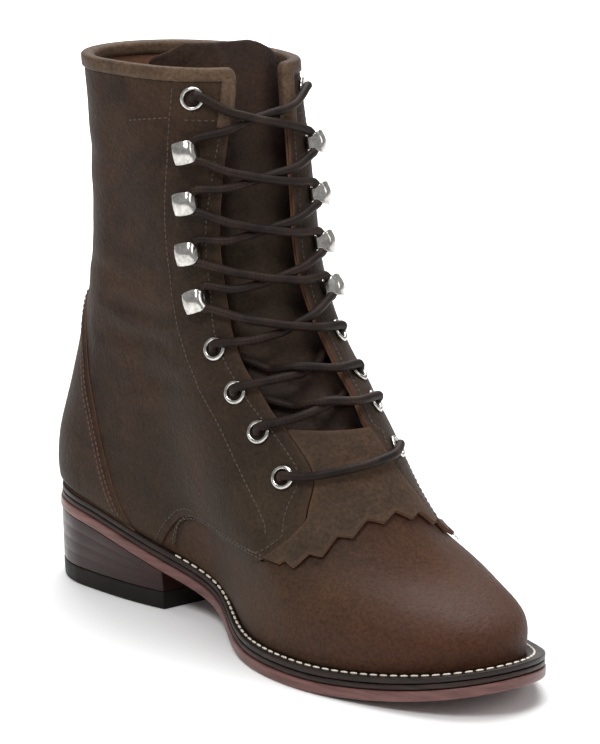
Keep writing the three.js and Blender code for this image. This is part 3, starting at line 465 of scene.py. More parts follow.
def new_piece(name, points, faces, material, replaces=(), attributes=None):
    mesh = bpy.data.meshes.new(name)
    mesh.from_pydata(to_metres(points).tolist(), [], [list(map(int, f)) for f in faces])
    mesh.polygons.foreach_set("use_smooth", [True] * len(mesh.polygons))
    for key, values in (attributes or {}).items():
        layer = mesh.attributes.new(key, "FLOAT", "POINT")
        layer.data.foreach_set("value", np.asarray(values, np.float32))
    mesh.validate()
    mesh.update()
    piece = bpy.data.objects.new(name, mesh)
    bpy.context.scene.collection.objects.link(piece)
    mesh.materials.append(material)
    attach(piece, "root")
    if replaces:
        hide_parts(*replaces)
    return piece


def grid_faces(rows, columns, start=0, flip=False, wrap=False):
    i, j = np.meshgrid(np.arange(rows - 1), np.arange(columns if wrap else columns - 1), indexing="ij")
    k = (j + 1) % columns
    a, b = start + i * columns + j, start + i * columns + k
    c, d = start + (i + 1) * columns + k, start + (i + 1) * columns + j
    quads = np.stack([a, b, c, d], axis=-1).reshape(-1, 4)
    return quads[:, ::-1] if flip else quads


# Cuts a grid of the last along a field's zero line. Returns u, v and triangles.
def clip_grid(us, vs, field):
    grid_u, grid_v = [g.ravel() for g in np.meshgrid(us, vs, indexing="ij")]
    value = field(last_point(grid_u, grid_v))
    value = np.where(np.abs(value) < 1e-3, 1e-3, value)
    quads = grid_faces(len(us), len(vs))
    triangles = np.vstack([quads[:, [0, 1, 2]], quads[:, [0, 2, 3]]])
    signs = value[triangles] > 0
    count = signs.sum(axis=1)
    kept = [triangles[count == 3]]
    new_keys = {}
    extra_u, extra_v = [], []

    def crossing(a, b):
        key = (a, b) if a < b else (b, a)
        if key not in new_keys:
            t = value[a] / (value[a] - value[b])
            new_keys[key] = len(value) + len(extra_u)
            extra_u.append(lerp(grid_u[a], grid_u[b], t))
            extra_v.append(lerp(grid_v[a], grid_v[b], t))
        return new_keys[key]
    cut = []
    for triangle, sign in zip(triangles[(count == 1) | (count == 2)], signs[(count == 1) | (count == 2)]):
        lone = int(np.argmax(sign if sign.sum() == 1 else ~sign))
        a, b, c = (int(triangle[(lone + k) % 3]) for k in range(3))
        ab, ac = crossing(a, b), crossing(a, c)
        if sign.sum() == 1:
            cut.append([a, ab, ac])
        else:
            cut += [[ab, b, c], [ab, c, ac]]
    if cut:
        kept.append(np.array(cut))
    triangles = np.vstack(kept)
    all_u, all_v = np.concatenate([grid_u, extra_u]), np.concatenate([grid_v, extra_v])
    used, inverse = np.unique(triangles, return_inverse=True)
    return all_u[used], all_v[used], inverse.reshape(-1, 3)


def boundary_edges(triangles):
    edges = np.vstack([triangles[:, [0, 1]], triangles[:, [1, 2]], triangles[:, [2, 0]]])
    keys = np.sort(edges, axis=1)
    _, first, counts = np.unique(keys, axis=0, return_index=True, return_counts=True)
    return edges[first[counts == 1]]


# Direction along the surface that leads straight out over a sheet's edge
def edge_direction(count, edges, points, normals):
    total = np.zeros((count, 3))
    run = points[edges[:, 1]] - points[edges[:, 0]]
    out = np.cross(run, normals[edges[:, 0]])
    np.add.at(total, edges[:, 0], out)
    np.add.at(total, edges[:, 1], out)
    size = np.linalg.norm(total, axis=1, keepdims=True)
    return total / np.maximum(size, 1e-9)


EDGE_BULGE = 0.35
EDGE_ROUND = [(0.0, 0.0), (0.55, 0.10), (0.9, 0.32), (0.9, 0.68), (0.55, 0.90), (0.0, 1.0)]


# A leather sheet that lies on the last, cut along a field, with a rounded cut edge. high and low
# are the offsets of its two faces, or functions of place and distance from the edge. back says
# whether the underside is made too.
def make_sheet(name, us, vs, field, high, low, material, replaces=(), back=True, relief=None,
               marks=None):
    u, v, triangles = clip_grid(us, vs, field)
    base, normal = last_point(u, v), last_normal(u, v)
    distance = field(base)
    top = high(base, distance) if callable(high) else np.full(len(u), high)
    if relief is not None:
        top = top + relief(base)
    upper_face = base + normal * top[:, None]
    under = low(base, distance) if callable(low) else np.full(len(u), low)
    lower_face = base + normal * under[:, None]
    edges = boundary_edges(triangles)
    out = edge_direction(len(u), edges, base, normal)
    points, faces, near = [upper_face], [triangles], [np.maximum(distance, 0)]
    start = len(u)
    rim = np.unique(edges)
    place = np.full(len(u), -1)
    place[rim] = np.arange(len(rim))
    previous = rim
    bulge = EDGE_BULGE * np.minimum(1, (top - under)[rim] / LAP)
    for side, deep in EDGE_ROUND[1:]:
        ring = lerp(upper_face[rim], lower_face[rim], deep) + out[rim] * (side * bulge)[:, None]
        points.append(ring)
        near.append(np.full(len(rim), -deep))
        here = start + np.arange(len(rim))
        a, b = place[edges[:, 0]], place[edges[:, 1]]
        faces.append(np.stack([previous[b], previous[a], here[a]], axis=1))
        faces.append(np.stack([previous[b], here[a], here[b]], axis=1))
        previous = here
        start += len(rim)
    if back:
        points.append(lower_face)
        near.append(np.full(len(u), -1.0))
        faces.append(triangles[:, ::-1] + start)
    points, near = np.vstack(points), np.concatenate(near)
    attributes = {"edge_mm": near}
    if marks is not None:
        attributes["seam_mm"] = seam_distance(points, marks)
    return new_piece(name, points, np.vstack(faces), material, replaces, attributes)


def seam_distance(points, paths):
    dense = np.vstack([resample(path, 0.3) for path in paths])
    tree = KDTree(len(dense))
    for i, p in enumerate(dense):
        tree.insert(p, i)
    tree.balance()
    return np.array([min(tree.find(p)[2], 20.0) for p in points])


# Places on the boot

def unit(vector):
    return vector / np.linalg.norm(vector)


def lace_place(spot, sign):
    u = spot["row"] + (0 if sign == INNER_SIDE else spot["outer"])
    return u, INNER_SIDE * spot["shift"] + sign * spot["across"]


# Origin and directions at a lacing spot: away from the throat, out of the leather, and up along it
def lace_frame(spot, sign, offset):
    u, v = lace_place(spot, sign)
    out = last_normal(u, v)
    rise = unit(last_point(u + NUDGE, v) - last_point(u - NUDGE, v))
    away = unit(np.cross(rise, out)) * sign
    return last_point(u, v) + out * offset, away, out, np.cross(out, away) * sign


def in_frame(frame, places):
    origin, away, out, up = frame
    places = np.asarray(places, float)
    return origin + places[..., :1] * away + places[..., 1:2] * out + places[..., 2:] * up


# The same place on the outer side, mirrored about the throat's middle and carried up as the rows are
def mirrored(path):
    rows = [spot["row"] for spot in LACING]
    u, v = np.asarray(path, float).T
    near = 1 - smooth((np.abs(v) - 0.25) / 0.40)
    shift = np.interp(u, rows, [spot["shift"] for spot in LACING])
    lift = np.interp(u, rows, [spot["outer"] for spot in LACING])
    return np.stack([u + lift * near, -v - 2 * shift * near], axis=1)


# Creases: path over the last, depth and half width in millimetres

CREASES = [
    ([(0.615, -0.43), (0.600, -0.50), (0.590, -0.58), (0.592, -0.66)], 0.55, 3.4),
    ([(0.562, -0.44), (0.545, -0.53), (0.530, -0.61), (0.528, -0.70)], 0.75, 3.8),
    ([(0.505, -0.44), (0.480, -0.52), (0.458, -0.60)], 0.55, 3.2),
    ([(0.655, -0.54), (0.645, -0.64), (0.652, -0.75)], 0.40, 3.6),
    ([(0.590, -0.79), (0.578, -0.88), (0.582, -0.97)], 0.65, 3.4),
    ([(0.640, -0.82), (0.630, -0.91), (0.640, -1.02)], 0.50, 3.6),
    ([(0.760, -0.47), (0.772, -0.60), (0.765, -0.72)], 0.30, 5.0),
    ([(0.860, -0.60), (0.850, -0.72), (0.862, -0.84)], 0.28, 5.0),
    ([(0.190, -0.40), (0.255, -0.355), (0.325, -0.315)], 0.40, 2.6),
    ([(0.150, -0.43), (0.205, -0.395), (0.262, -0.355)], 0.30, 2.4),
    ([(0.600, 0.40), (0.585, 0.50), (0.578, 0.61)], 0.60, 3.6),
    ([(0.545, 0.43), (0.520, 0.53), (0.508, 0.64)], 0.70, 3.8),
    ([(0.486, 0.45), (0.462, 0.55)], 0.45, 3.2),
    ([(0.600, 0.80), (0.590, 0.90), (0.600, 0.99)], 0.50, 3.4),
    ([(0.200, 0.36), (0.270, 0.32), (0.330, 0.29)], 0.40, 2.6),
    ([(0.740, 0.50), (0.750, 0.62), (0.742, 0.74)], 0.30, 5.0),
]
CREASE_FADE = 14.0
# Slow waves of the leather: direction and length of each wave, and its height
WAVES = [((0.9, 0.3, 0.5), 46.0, 0.16), ((-0.4, 0.8, 0.6), 31.0, 0.12), ((0.3, -0.6, 0.9), 19.0, 0.07)]


def crease_lines():
    lines = []
    for path, depth, width in CREASES:
        u, v = curve_through(path, 6).T
        lines.append((last_point(u, v), depth, width))
    return lines


crease_list = crease_lines()


# How far the leather stands out from or sinks into its smooth form
def relief(points):
    total = np.zeros(points.shape[:-1])
    for direction, length, height in WAVES:
        total += height * np.sin(2 * np.pi * (points @ unit(np.array(direction))) / length)
    for line, depth, width in crease_list:
        middle = line.mean(axis=0)
        reach = np.linalg.norm(line - middle, axis=1).max() + 4 * width
        near = np.linalg.norm(points - middle, axis=-1) < reach
        if not near.any():
            continue
        spots = points[near]
        away = polyline_distance(spots, line) / width
        ends = np.minimum(np.linalg.norm(spots - line[0], axis=-1), np.linalg.norm(spots - line[-1], axis=-1))
        shape = -np.exp(-away ** 2) + 0.45 * np.exp(-(away - 2.0) ** 2)
        total[near] += depth * shape * smooth(ends / CREASE_FADE)
    return total


# Paths over the leather, as shares of the way up and of half a loop, from the inner side

EYESTAY_SEAM = [(0.974, -0.286), (0.899, -0.336), (0.801, -0.390), (0.691, -0.411), (0.611, -0.421),
                (0.514, -0.419), (0.453, -0.384), (0.404, -0.364), (0.340, -0.341), (0.307, -0.344)]
COLLAR_ROW = [(0.917, -0.473), (0.924, -0.400), (0.930, -0.321)]
TOP_ROW = [(0.929, -0.270), (0.930, -0.138)]
VAMP_SEAM = [(0.232, -0.373), (0.226, -0.450), (0.196, -0.516), (0.158, -0.565), (0.107, -0.591),
             (0.031, -0.606)]
BACK_SEAM = [(0.965, 1.0), (0.80, 1.0), (0.64, 1.0)]


def on_both_sides(path):
    return [np.asarray(path, float), mirrored(path)]


# How near its value a line's points lie, and the fewest points that make a line
LINE_NEAR = 0.3
LINE_POINTS = 12


# The lines over the last on which a field has a given value
def field_lines(us, vs, field, level):
    u, v, triangles = clip_grid(us, vs, lambda p: field(p) - level)
    value = field(last_point(u, v)) - level
    edges = [(a, b) for a, b in boundary_edges(triangles) if max(abs(value[a]), abs(value[b])) < LINE_NEAR]
    follow = dict(edges)
    starts = [a for a in follow if a not in set(follow.values())]
    lines = []
    for start in starts:
        chain = [start]
        while chain[-1] in follow and len(chain) <= len(edges):
            chain.append(follow[chain[-1]])
        if len(chain) > LINE_POINTS:
            lines.append(np.stack([u[chain], v[chain]], axis=1))
    return lines


# Stitches

STITCH_RINGS = [(-0.88, 0.55), (-0.55, 0.90), (0.0, 1.0), (0.55, 0.90), (0.88, 0.55)]
STITCH_SIDES = 8


# One thread stitch for each place: position, direction and outward normal, with its length and width
def new_stitches(name, places, length, width, height, material, slot):
    angle = 2 * np.pi * np.arange(STITCH_SIDES) / STITCH_SIDES
    shape = [[-1, 0, 0]]
    for along, size in STITCH_RINGS:
        shape += [[along, size * math.cos(a), size * math.sin(a)] for a in angle]
    shape = np.array(shape + [[1, 0, 0]]) * [length / 2, width / 2, height / 2]
    faces = []
    last = len(shape) - 1
    for j in range(STITCH_SIDES):
        k = (j + 1) % STITCH_SIDES
        faces.append([0, 1 + k, 1 + j, 1 + j])
        for ring in range(len(STITCH_RINGS) - 1):
            a, b = 1 + ring * STITCH_SIDES, 1 + (ring + 1) * STITCH_SIDES
            faces.append([a + j, a + k, b + k, b + j])
        a = 1 + (len(STITCH_RINGS) - 1) * STITCH_SIDES
        faces.append([a + j, a + k, last, last])
    faces = np.array(faces)
    points = []
    for position, run, normal in places:
        side = unit(np.cross(normal, run))
        points.append(position + shape @ np.array([run, side, np.cross(run, side)]))
    count = len(shape)
    whole = np.vstack([faces + count * i for i in range(len(places))])
    trimmed = [f[:3] if f[2] == f[3] else f for f in whole.tolist()]
    return new_piece(name, np.vstack(points), trimmed, material)


# Places for the stitches of a row over the last
def row_places(path, pitch, offset, skip=None):
    u, v = curve_through(path, 10).T if len(path) < 12 else np.asarray(path).T
    line = last_point(u, v)
    run = np.concatenate([[0], np.cumsum(np.linalg.norm(np.diff(line, axis=0), axis=1))])
    count = int(run[-1] / pitch)
    places = []
    for i in range(count):
        at = (i + 0.5) * run[-1] / count
        a, b = np.clip([at - 0.3 * pitch, at + 0.3 * pitch], 0, run[-1])
        uv = [np.array([np.interp(s, run, u), np.interp(s, run, v)]) for s in (a, at, b)]
        ends = [last_point(*p) for p in uv]
        if skip is not None and skip(ends[1]):
            continue
        normal = last_normal(*uv[1])
        position = ends[1] + normal * (offset + relief(ends[1][None])[0])
        places.append((position, unit(ends[2] - ends[0]), normal))
    return places


# Closed forms

# A sheet of even thickness round a grid of points, with rounded edges
def thick_grid(middle, thickness):
    du, dv = np.gradient(middle, axis=0), np.gradient(middle, axis=1)
    normal = np.cross(du, dv)
    normal /= np.maximum(np.linalg.norm(normal, axis=-1, keepdims=True), 1e-9)
    rows, columns = middle.shape[:2]
    top, low = middle + normal * thickness / 2, middle - normal * thickness / 2
    place = np.arange(rows * columns).reshape(rows, columns)
    index = np.concatenate([place[:, 0], place[-1, 1:], place[-2::-1, -1], place[0, -2:0:-1]])
    flat_top, flat_low = top.reshape(-1, 3), low.reshape(-1, 3)
    centre = (flat_top + flat_low)[index] / 2
    ahead, behind = np.roll(centre, -1, axis=0), np.roll(centre, 1, axis=0)
    out = np.cross(ahead - behind, normal.reshape(-1, 3)[index])
    out /= np.maximum(np.linalg.norm(out, axis=1, keepdims=True), 1e-9)
    inward = middle[rows // 2, columns // 2] - centre
    if np.sign((out * inward).sum(axis=1)).mean() > 0.5:
        out = -out
    size = np.linalg.norm(flat_top[index] - flat_low[index], axis=1)[:, None] / 2
    rings = [flat_top[index] * (1 - d) + flat_low[index] * d + out * s * size for s, d in EDGE_ROUND[1:-1]]
    points = np.vstack([flat_top, flat_low] + rings)
    total = rows * columns
    faces = np.vstack([grid_faces(rows, columns), grid_faces(rows, columns, total, flip=True)]).tolist()
    between = [2 * total + k * len(index) + np.arange(len(index)) for k in range(len(rings))]
    chain = [index, *between, index + total]
    for a, b in zip(chain[:-1], chain[1:]):
        faces += np.stack([a, np.roll(a, -1), np.roll(b, -1), b], axis=1).tolist()
    return points, faces


# A closed form through sections that are loops of the same number of points
def through_loops(loops, closed=False):
    loops = np.asarray(loops, float)
    rows, columns = loops.shape[:2]
    points = loops.reshape(-1, 3)
    faces = grid_faces(rows, columns, wrap=True).tolist()
    if closed:
        faces += [[(rows - 1) * columns + j, (rows - 1) * columns + (j + 1) % columns, (j + 1) % columns, j]
                  for j in range(columns)]
    else:
        faces.append(list(range(columns))[::-1])
        faces.append([(rows - 1) * columns + j for j in range(columns)])
    return points, faces


# Turns every face of a closed piece outward
def face_outward(piece):
    mesh = bmesh.new()
    mesh.from_mesh(piece.data)
    bmesh.ops.recalc_face_normals(mesh, faces=mesh.faces)
    mesh.to_mesh(piece.data)
    mesh.free()
    return piece


# Materials

def colour(red, green, blue):
    return tuple((c / 255 / 12.92 if c <= 10 else ((c / 255 + 0.055) / 1.055) ** 2.4)
                 for c in (red, green, blue)) + (1.0,)


def new_material(name):
    material = bpy.data.materials.new(name)
    material.use_nodes = True
    return material, material.node_tree, material.node_tree.nodes["Principled BSDF"]


def add_node(tree, kind, values=(), **settings):
    node = tree.nodes.new("ShaderNode" + kind)
    for key, value in settings.items():
        setattr(node, key, value)
    for key, value in dict(values).items():
        if isinstance(value, bpy.types.NodeSocket):
            tree.links.new(value, node.inputs[key])
        else:
            node.inputs[key].default_value = value
    return node


def places_of(tree, stretch=(1, 1, 1)):
    here = add_node(tree, "TexCoord").outputs["Object"]
    return add_node(tree, "Mapping", {"Vector": here, "Scale": stretch}).outputs["Vector"]


def noise(tree, scale, detail=3.0, roughness=0.5, distortion=0.0, stretch=(1, 1, 1)):
    node = add_node(tree, "TexNoise", {"Vector": places_of(tree, stretch), "Scale": scale, "Detail": detail,
                                       "Roughness": roughness, "Distortion": distortion})
    return node.outputs["Fac"]


def cells(tree, scale, feature="F1"):
    node = add_node(tree, "TexVoronoi", {"Vector": places_of(tree), "Scale": scale}, feature=feature)
    return node.outputs["Distance"]


def ramp(tree, value, stops):
    node = add_node(tree, "ValToRGB", {"Fac": value})
    while len(node.color_ramp.elements) < len(stops):
        node.color_ramp.elements.new(0.5)
    for element, (at, tone) in zip(node.color_ramp.elements, stops):
        element.position = at
        element.color = tone
    return node.outputs["Color"]


def remap(tree, value, low, high, to_low, to_high):
    node = add_node(tree, "MapRange", {"Value": value, "From Min": low, "From Max": high,
                                       "To Min": to_low, "To Max": to_high})
    return node.outputs["Result"]


def blend_colours(tree, share, first, second, mode="MIX"):
    node = add_node(tree, "Mix", data_type="RGBA", blend_type=mode)
    for index, value in ((0, share), (6, first), (7, second)):
        if isinstance(value, bpy.types.NodeSocket):
            tree.links.new(value, node.inputs[index])
        else:
            node.inputs[index].default_value = value
    return node.outputs[2]


def times(tree, a, b):
    return add_node(tree, "Math", {0: a, 1: b}, operation="MULTIPLY").outputs[0]


def plus(tree, a, b):
    return add_node(tree, "Math", {0: a, 1: b}, operation="ADD").outputs[0]


def attribute(tree, name):
    return add_node(tree, "Attribute", attribute_name=name).outputs["Fac"]


def bump(tree, height, distance, strength=1.0, normal=None):
    values = {"Height": height, "Distance": distance, "Strength": strength}
    if normal is not None:
        values["Normal"] = normal
    return add_node(tree, "Bump", values).outputs["Normal"]


# Oiled leather with a soft nap: three tones in large clouds, fine grain and pores, worn edges, raw
# cut edges, and stitched grooves sunk by bump with painted shade darkening their colour
def leather(name, dark, middle, light, cut, burnish=None, rough=0.60, seams=False):
    material, tree, shader = new_material(name)
    clouds = noise(tree, 24, 5, 0.62, 0.6)
    tone = ramp(tree, clouds, [(0.30, dark), (0.48, middle), (0.70, light)])
    drift = noise(tree, 7, 2)
    tone = blend_colours(tree, remap(tree, drift, 0.42, 0.66, 0.0, 0.45), tone, colour(66, 58, 44))
    if burnish is not None:
        here = add_node(tree, "TexCoord").outputs["Object"]
        front = add_node(tree, "SeparateXYZ", {"Vector": here}).outputs["X"]
        reach = plus(tree, front, times(tree, clouds, 0.05))
        tone = blend_colours(tree, remap(tree, reach, 0.145, 0.235, 0.0, 0.62), tone, burnish)
    nap = noise(tree, 170, 5, 0.72, 0.4)
    tone = blend_colours(tree, remap(tree, nap, 0.50, 0.72, 0.0, 0.55), tone, light)
    speck = noise(tree, 620, 3, 0.75)
    tone = blend_colours(tree, remap(tree, speck, 0.30, 0.62, 0.55, 0.0), tone, colour(20, 14, 11))
    edge = attribute(tree, "edge_mm")
    tone = blend_colours(tree, remap(tree, edge, 0.0, 1.6, 0.38, 0.0), tone, light)
    tone = blend_colours(tree, remap(tree, edge, -0.45, -0.05, 0.85, 0.0), tone, cut)
    fine, coarse = noise(tree, 900, 3, 0.6), noise(tree, 210, 4, 0.6, 0.8)
    height = plus(tree, times(tree, fine, 0.55), times(tree, coarse, 1.1))
    height = plus(tree, height, times(tree, cells(tree, 640), -0.35))
    if seams:
        # Painted shade: the colour darkens along the stitched seams, where the groove would lie in shade
        seam_groove_and_shade = remap(tree, attribute(tree, "seam_mm"), 0.0, 1.3, 1.0, 0.0)
        tone = blend_colours(tree, times(tree, seam_groove_and_shade, 0.55), tone, colour(26, 19, 15))
        height = plus(tree, height, times(tree, seam_groove_and_shade, -2.4))
    tree.links.new(tone, shader.inputs["Base Color"])
    tree.links.new(remap(tree, plus(tree, times(tree, clouds, 0.7), times(tree, speck, 0.3)), 0.3, 0.7,
                         rough - 0.10, rough + 0.10), shader.inputs["Roughness"])
    tree.links.new(bump(tree, height, 0.00034), shader.inputs["Normal"])
    shader.inputs["Specular IOR Level"].default_value = 0.10
    shader.inputs["Sheen Weight"].default_value = 0.02
    shader.inputs["Sheen Roughness"].default_value = 0.5
    return material


# Stacked leather, pressed sole edges and rubber: stretched streaks along the edge, and scuffs
def sole_edge(name, dark, light, rough, coat=0.0, streak=(1, 1, 8), scale=60):
    material, tree, shader = new_material(name)
    streaks = noise(tree, scale, 4, 0.6, 0.2, streak)
    tone = ramp(tree, streaks, [(0.30, dark), (0.72, light)])
    scuff = noise(tree, 140, 3, 0.7)
    tone = blend_colours(tree, remap(tree, scuff, 0.55, 0.80, 0.0, 0.30), tone, light)
    tree.links.new(tone, shader.inputs["Base Color"])
    tree.links.new(remap(tree, scuff, 0.3, 0.7, rough - 0.08, rough + 0.12), shader.inputs["Roughness"])
    fine = plus(tree, times(tree, streaks, 1.0), times(tree, noise(tree, 1100, 2), 0.3))
    tree.links.new(bump(tree, fine, 0.00025, 0.7), shader.inputs["Normal"])
    shader.inputs["Coat Weight"].default_value = coat
    shader.inputs["Specular IOR Level"].default_value = 0.2
    shader.inputs["Coat Roughness"].default_value = 0.28
    return material


def thread(name, dark, light, rough):
    material, tree, shader = new_material(name)
    twist = noise(tree, 1500, 2, 0.6)
    tree.links.new(ramp(tree, twist, [(0.30, dark), (0.65, light)]), shader.inputs["Base Color"])
    shader.inputs["Roughness"].default_value = rough
    tree.links.new(bump(tree, twist, 0.0002, 0.8), shader.inputs["Normal"])
    return material


def waxed_lace(name):
    material, tree, shader = new_material(name)
    cloud = noise(tree, 90, 3)
    tone = ramp(tree, cloud, [(0.32, colour(24, 16, 13)), (0.68, colour(52, 37, 30))])
    # Painted shade: the valleys between the braid's strands get a darker colour
    braid_for_valley_shade = attribute(tree, "braid")
    tone = blend_colours(tree, remap(tree, braid_for_valley_shade, -0.6, 0.5, 0.65, 0.0), tone, colour(14, 10, 8))
    tree.links.new(tone, shader.inputs["Base Color"])
    shader.inputs["Roughness"].default_value = 0.55
    shader.inputs["Specular IOR Level"].default_value = 0.15
    tree.links.new(bump(tree, noise(tree, 2400, 2), 0.00012, 0.6), shader.inputs["Normal"])
    return material


def bright_nickel(name):
    material, tree, shader = new_material(name)
    wear = noise(tree, 420, 4, 0.65)
    tone = ramp(tree, wear, [(0.30, colour(150, 146, 140)), (0.62, colour(206, 203, 198))])
    tree.links.new(tone, shader.inputs["Base Color"])
    tree.links.new(remap(tree, wear, 0.3, 0.7, 0.24, 0.10), shader.inputs["Roughness"])
    tree.links.new(bump(tree, wear, 0.00008, 0.5), shader.inputs["Normal"])
    shader.inputs["Metallic"].default_value = 1.0
    return material


def studio_floor(name):
    material, tree, shader = new_material(name)
    tone = ramp(tree, noise(tree, 3, 2), [(0.3, colour(250, 250, 250)), (0.7, colour(252, 252, 252))])
    tree.links.new(tone, shader.inputs["Base Color"])
    shader.inputs["Roughness"].default_value = 0.7
    shader.inputs["Specular IOR Level"].default_value = 0.2
    return material


CUT_EDGE = colour(112, 78, 60)
upper_leather = leather("upper_leather", colour(35, 25, 19), colour(51, 37, 28), colour(69, 51, 39), CUT_EDGE,
                        seams=True)
vamp_leather = leather("vamp_leather", colour(42, 27, 19), colour(61, 40, 28), colour(82, 55, 39), CUT_EDGE,
                       burnish=colour(79, 43, 29), rough=0.54, seams=True)
kiltie_leather = leather("kiltie_leather", colour(46, 33, 24), colour(67, 49, 37), colour(86, 64, 49),
                         CUT_EDGE)
binding_leather = leather("binding_leather", colour(61, 47, 37), colour(82, 64, 50), colour(102, 82, 65),
                          CUT_EDGE, rough=0.55)
# Painted shade: the tongue's tones are darker and more purple than the quarters', for the shade in the throat
tongue_leather_painted_shade = leather("tongue_leather_painted_shade", colour(31, 21, 18), colour(47, 33, 27), colour(61, 44, 35),
                         CUT_EDGE)
lining_leather = leather("lining_leather", colour(70, 46, 36), colour(96, 66, 52), colour(118, 86, 68),
                         CUT_EDGE, rough=0.68)
insole_leather = leather("insole_leather", colour(104, 76, 54), colour(138, 104, 76), colour(160, 126, 96),
                         CUT_EDGE, rough=0.7)
stack_leather = sole_edge("stack_leather", colour(26, 9, 6), colour(48, 19, 13), 0.36, 0.25)
outsole_leather = sole_edge("outsole_leather", colour(79, 51, 48), colour(121, 84, 79), 0.40, 0.20)
welt_leather = sole_edge("welt_leather", colour(21, 15, 12), colour(46, 34, 29), 0.45, 0.10)
midsole_leather = sole_edge("midsole_leather", colour(24, 16, 14), colour(53, 37, 31), 0.45, 0.10)
heel_rubber = sole_edge("heel_rubber", colour(12, 10, 8), colour(26, 21, 18), 0.55, 0.0, (1, 1, 1), 90)
nickel = bright_nickel("nickel")
lace_cord = waxed_lace("lace_cord")
tonal_thread = thread("tonal_thread", colour(36, 27, 22), colour(78, 62, 50), 0.6)
red_thread = thread("red_thread", colour(58, 34, 26), colour(104, 66, 50), 0.6)
welt_thread = thread("welt_thread", colour(196, 186, 166), colour(236, 229, 213), 0.7)


# Upper

QUARTER_US = np.linspace(0.0, 0.996, 200)
QUARTER_VS = np.linspace(-0.03, 1.97, 330)
VAMP_US = np.linspace(0.0, 0.62, 130)
VAMP_VS = np.linspace(-0.80, 0.80, 230)
LINING_US = np.linspace(0.0, 0.992, 110)
LINING_VS = np.linspace(-1.0, 1.0, 200)
# How far each layer keeps back from the throat, and the offsets of its hidden faces
QUARTER_LOW = 0.02
VAMP_TRIM = 0.5
VAMP_LOW = -1.3
LINING_TRIM = 0.8
LINING_HIGH = -1.05
# How far the vamp runs under the quarters, how deep it sinks there, and over what distance
VAMP_UNDER = 6.0
VAMP_SINK = 0.6
VAMP_SLOPE = 2.5


# Thins the raised leather towards the feather edge, where the welt holds it
def seated(points):
    rise = points[..., 2] - feather_z(points[..., 0])
    return lerp(0.25, 1.0, smooth(rise / 4))


def seam_paths():
    paths = [path for seam in (EYESTAY_SEAM, COLLAR_ROW, VAMP_SEAM) for path in on_both_sides(seam)]
    return [last_point(*curve_through(p, 12).T) for p in [*paths, BACK_SEAM]]


def make_upper():
    marks = seam_paths()
    make_sheet("quarters", QUARTER_US, QUARTER_VS, flap_field, lambda p, d: LAP * seated(p), QUARTER_LOW,
               upper_leather, ("upper",), back=False, relief=relief, marks=marks)
    make_sheet("vamp", VAMP_US, VAMP_VS,
               lambda p: np.minimum(throat_field(p) - VAMP_TRIM, VAMP_UNDER - flap_field(p)),
               lambda p, d: -VAMP_SINK * smooth(flap_field(p) / VAMP_SLOPE), VAMP_LOW,
               vamp_leather, back=False, relief=relief, marks=marks)
    make_sheet("lining", LINING_US, LINING_VS, lambda p: throat_field(p) - LINING_TRIM, LINING_HIGH, -WALL,
               lining_leather, relief=relief)


COUNTER_VS = np.linspace(0.58, 1.42, 150)


def make_counter():
    def high(points, distance):
        return (LAP + GAP + COUNTER * lerp(0.25, 1.0, smooth(distance / 2.5))) * seated(points)
    make_sheet("counter_leather", np.linspace(0.0, 0.62, 110), COUNTER_VS, counter_field, high, LAP,
               upper_leather, ("counter",), back=False, relief=relief, marks=seam_paths())


# The fringe lifts a little towards its teeth
def make_kiltie():
    def lift(points):
        teeth = polygon_field(points[..., [0, 1]], kiltie_outline())
        return 0.9 * (1 - smooth(teeth / 16))
    make_sheet("fringe", np.linspace(0.24, 0.62, 120), np.linspace(-0.45, 0.45, 170), kiltie_field,
               lambda p, d: GAP + KILTIE + lift(p), lambda p, d: GAP + 0.5 * lift(p),
               kiltie_leather, ("kiltie",), relief=relief)


TONGUE_OFFSET = -(WALL + LACE + 5 * GAP)
TONGUE_CORNER = 0.30


def tongue_top():
    rise = last_point(1.0, 0.0)[2] - last_point(1 - LAST_STEP, 0.0)[2]
    return 1 + (COLLAR_RISE + TONGUE_REACH) / rise * LAST_STEP


def make_tongue():
    top = tongue_top()
    us = lerp(TONGUE_FOOT, top, np.linspace(0, 1, 150) ** 0.92)
    shares = np.linspace(-1, 1, 64)
    half = lerp(TONGUE_FOOT_HALF, TONGUE_HALF, smooth((us - TONGUE_FOOT) / TONGUE_GROWS))
    half = half * (1 - TONGUE_SHRINK * smooth((us - 1) / (top - 1)))
    corner = np.clip((us - (top - 0.035)) / 0.035, 0, 1)
    half = half * (1 - TONGUE_CORNER * (1 - np.sqrt(1 - corner ** 2)))
    u, share = np.meshgrid(us, shares, indexing="ij")
    v = INNER_SIDE * TONGUE_SHIFT + share * half[:, None]
    fold = 0.7 * np.exp(-((share - 0.12) / 0.10) ** 2) - 0.5 * np.exp(-((share + 0.35) / 0.14) ** 2)
    middle = offset_point(u, v, TONGUE_OFFSET - TONGUE / 2 + fold * smooth((u - 0.5) / 0.2))
    points, faces = thick_grid(middle, TONGUE - 0.6)
    piece = new_piece("tongue_leather_painted_shade", points, faces, tongue_leather_painted_shade, ("tongue",),
                      {"edge_mm": np.full(len(points), 9.0)})
    return face_outward(piece)


# The bound edge: a soft fold over the collar's rim that turns down each flap's edge
BINDING_END = 216.0
BINDING_SECTION = [(-5.0, 1.0, 0.1), (-4.6, 1.0, 0.75), (-3.0, 1.0, 0.95), (-1.0, 1.0, 1.0), (0.1, 1.0, 0.9),
                   (0.75, 0.78, 0.55), (1.05, 0.45, 0.0), (1.05, 0.10, 0.0), (0.75, -0.22, -0.5),
                   (0.1, -0.45, -0.9), (-1.0, -0.45, -1.0), (-3.0, -0.45, -0.95), (-4.6, -0.45, -0.75),
                   (-5.0, -0.45, -0.1)]


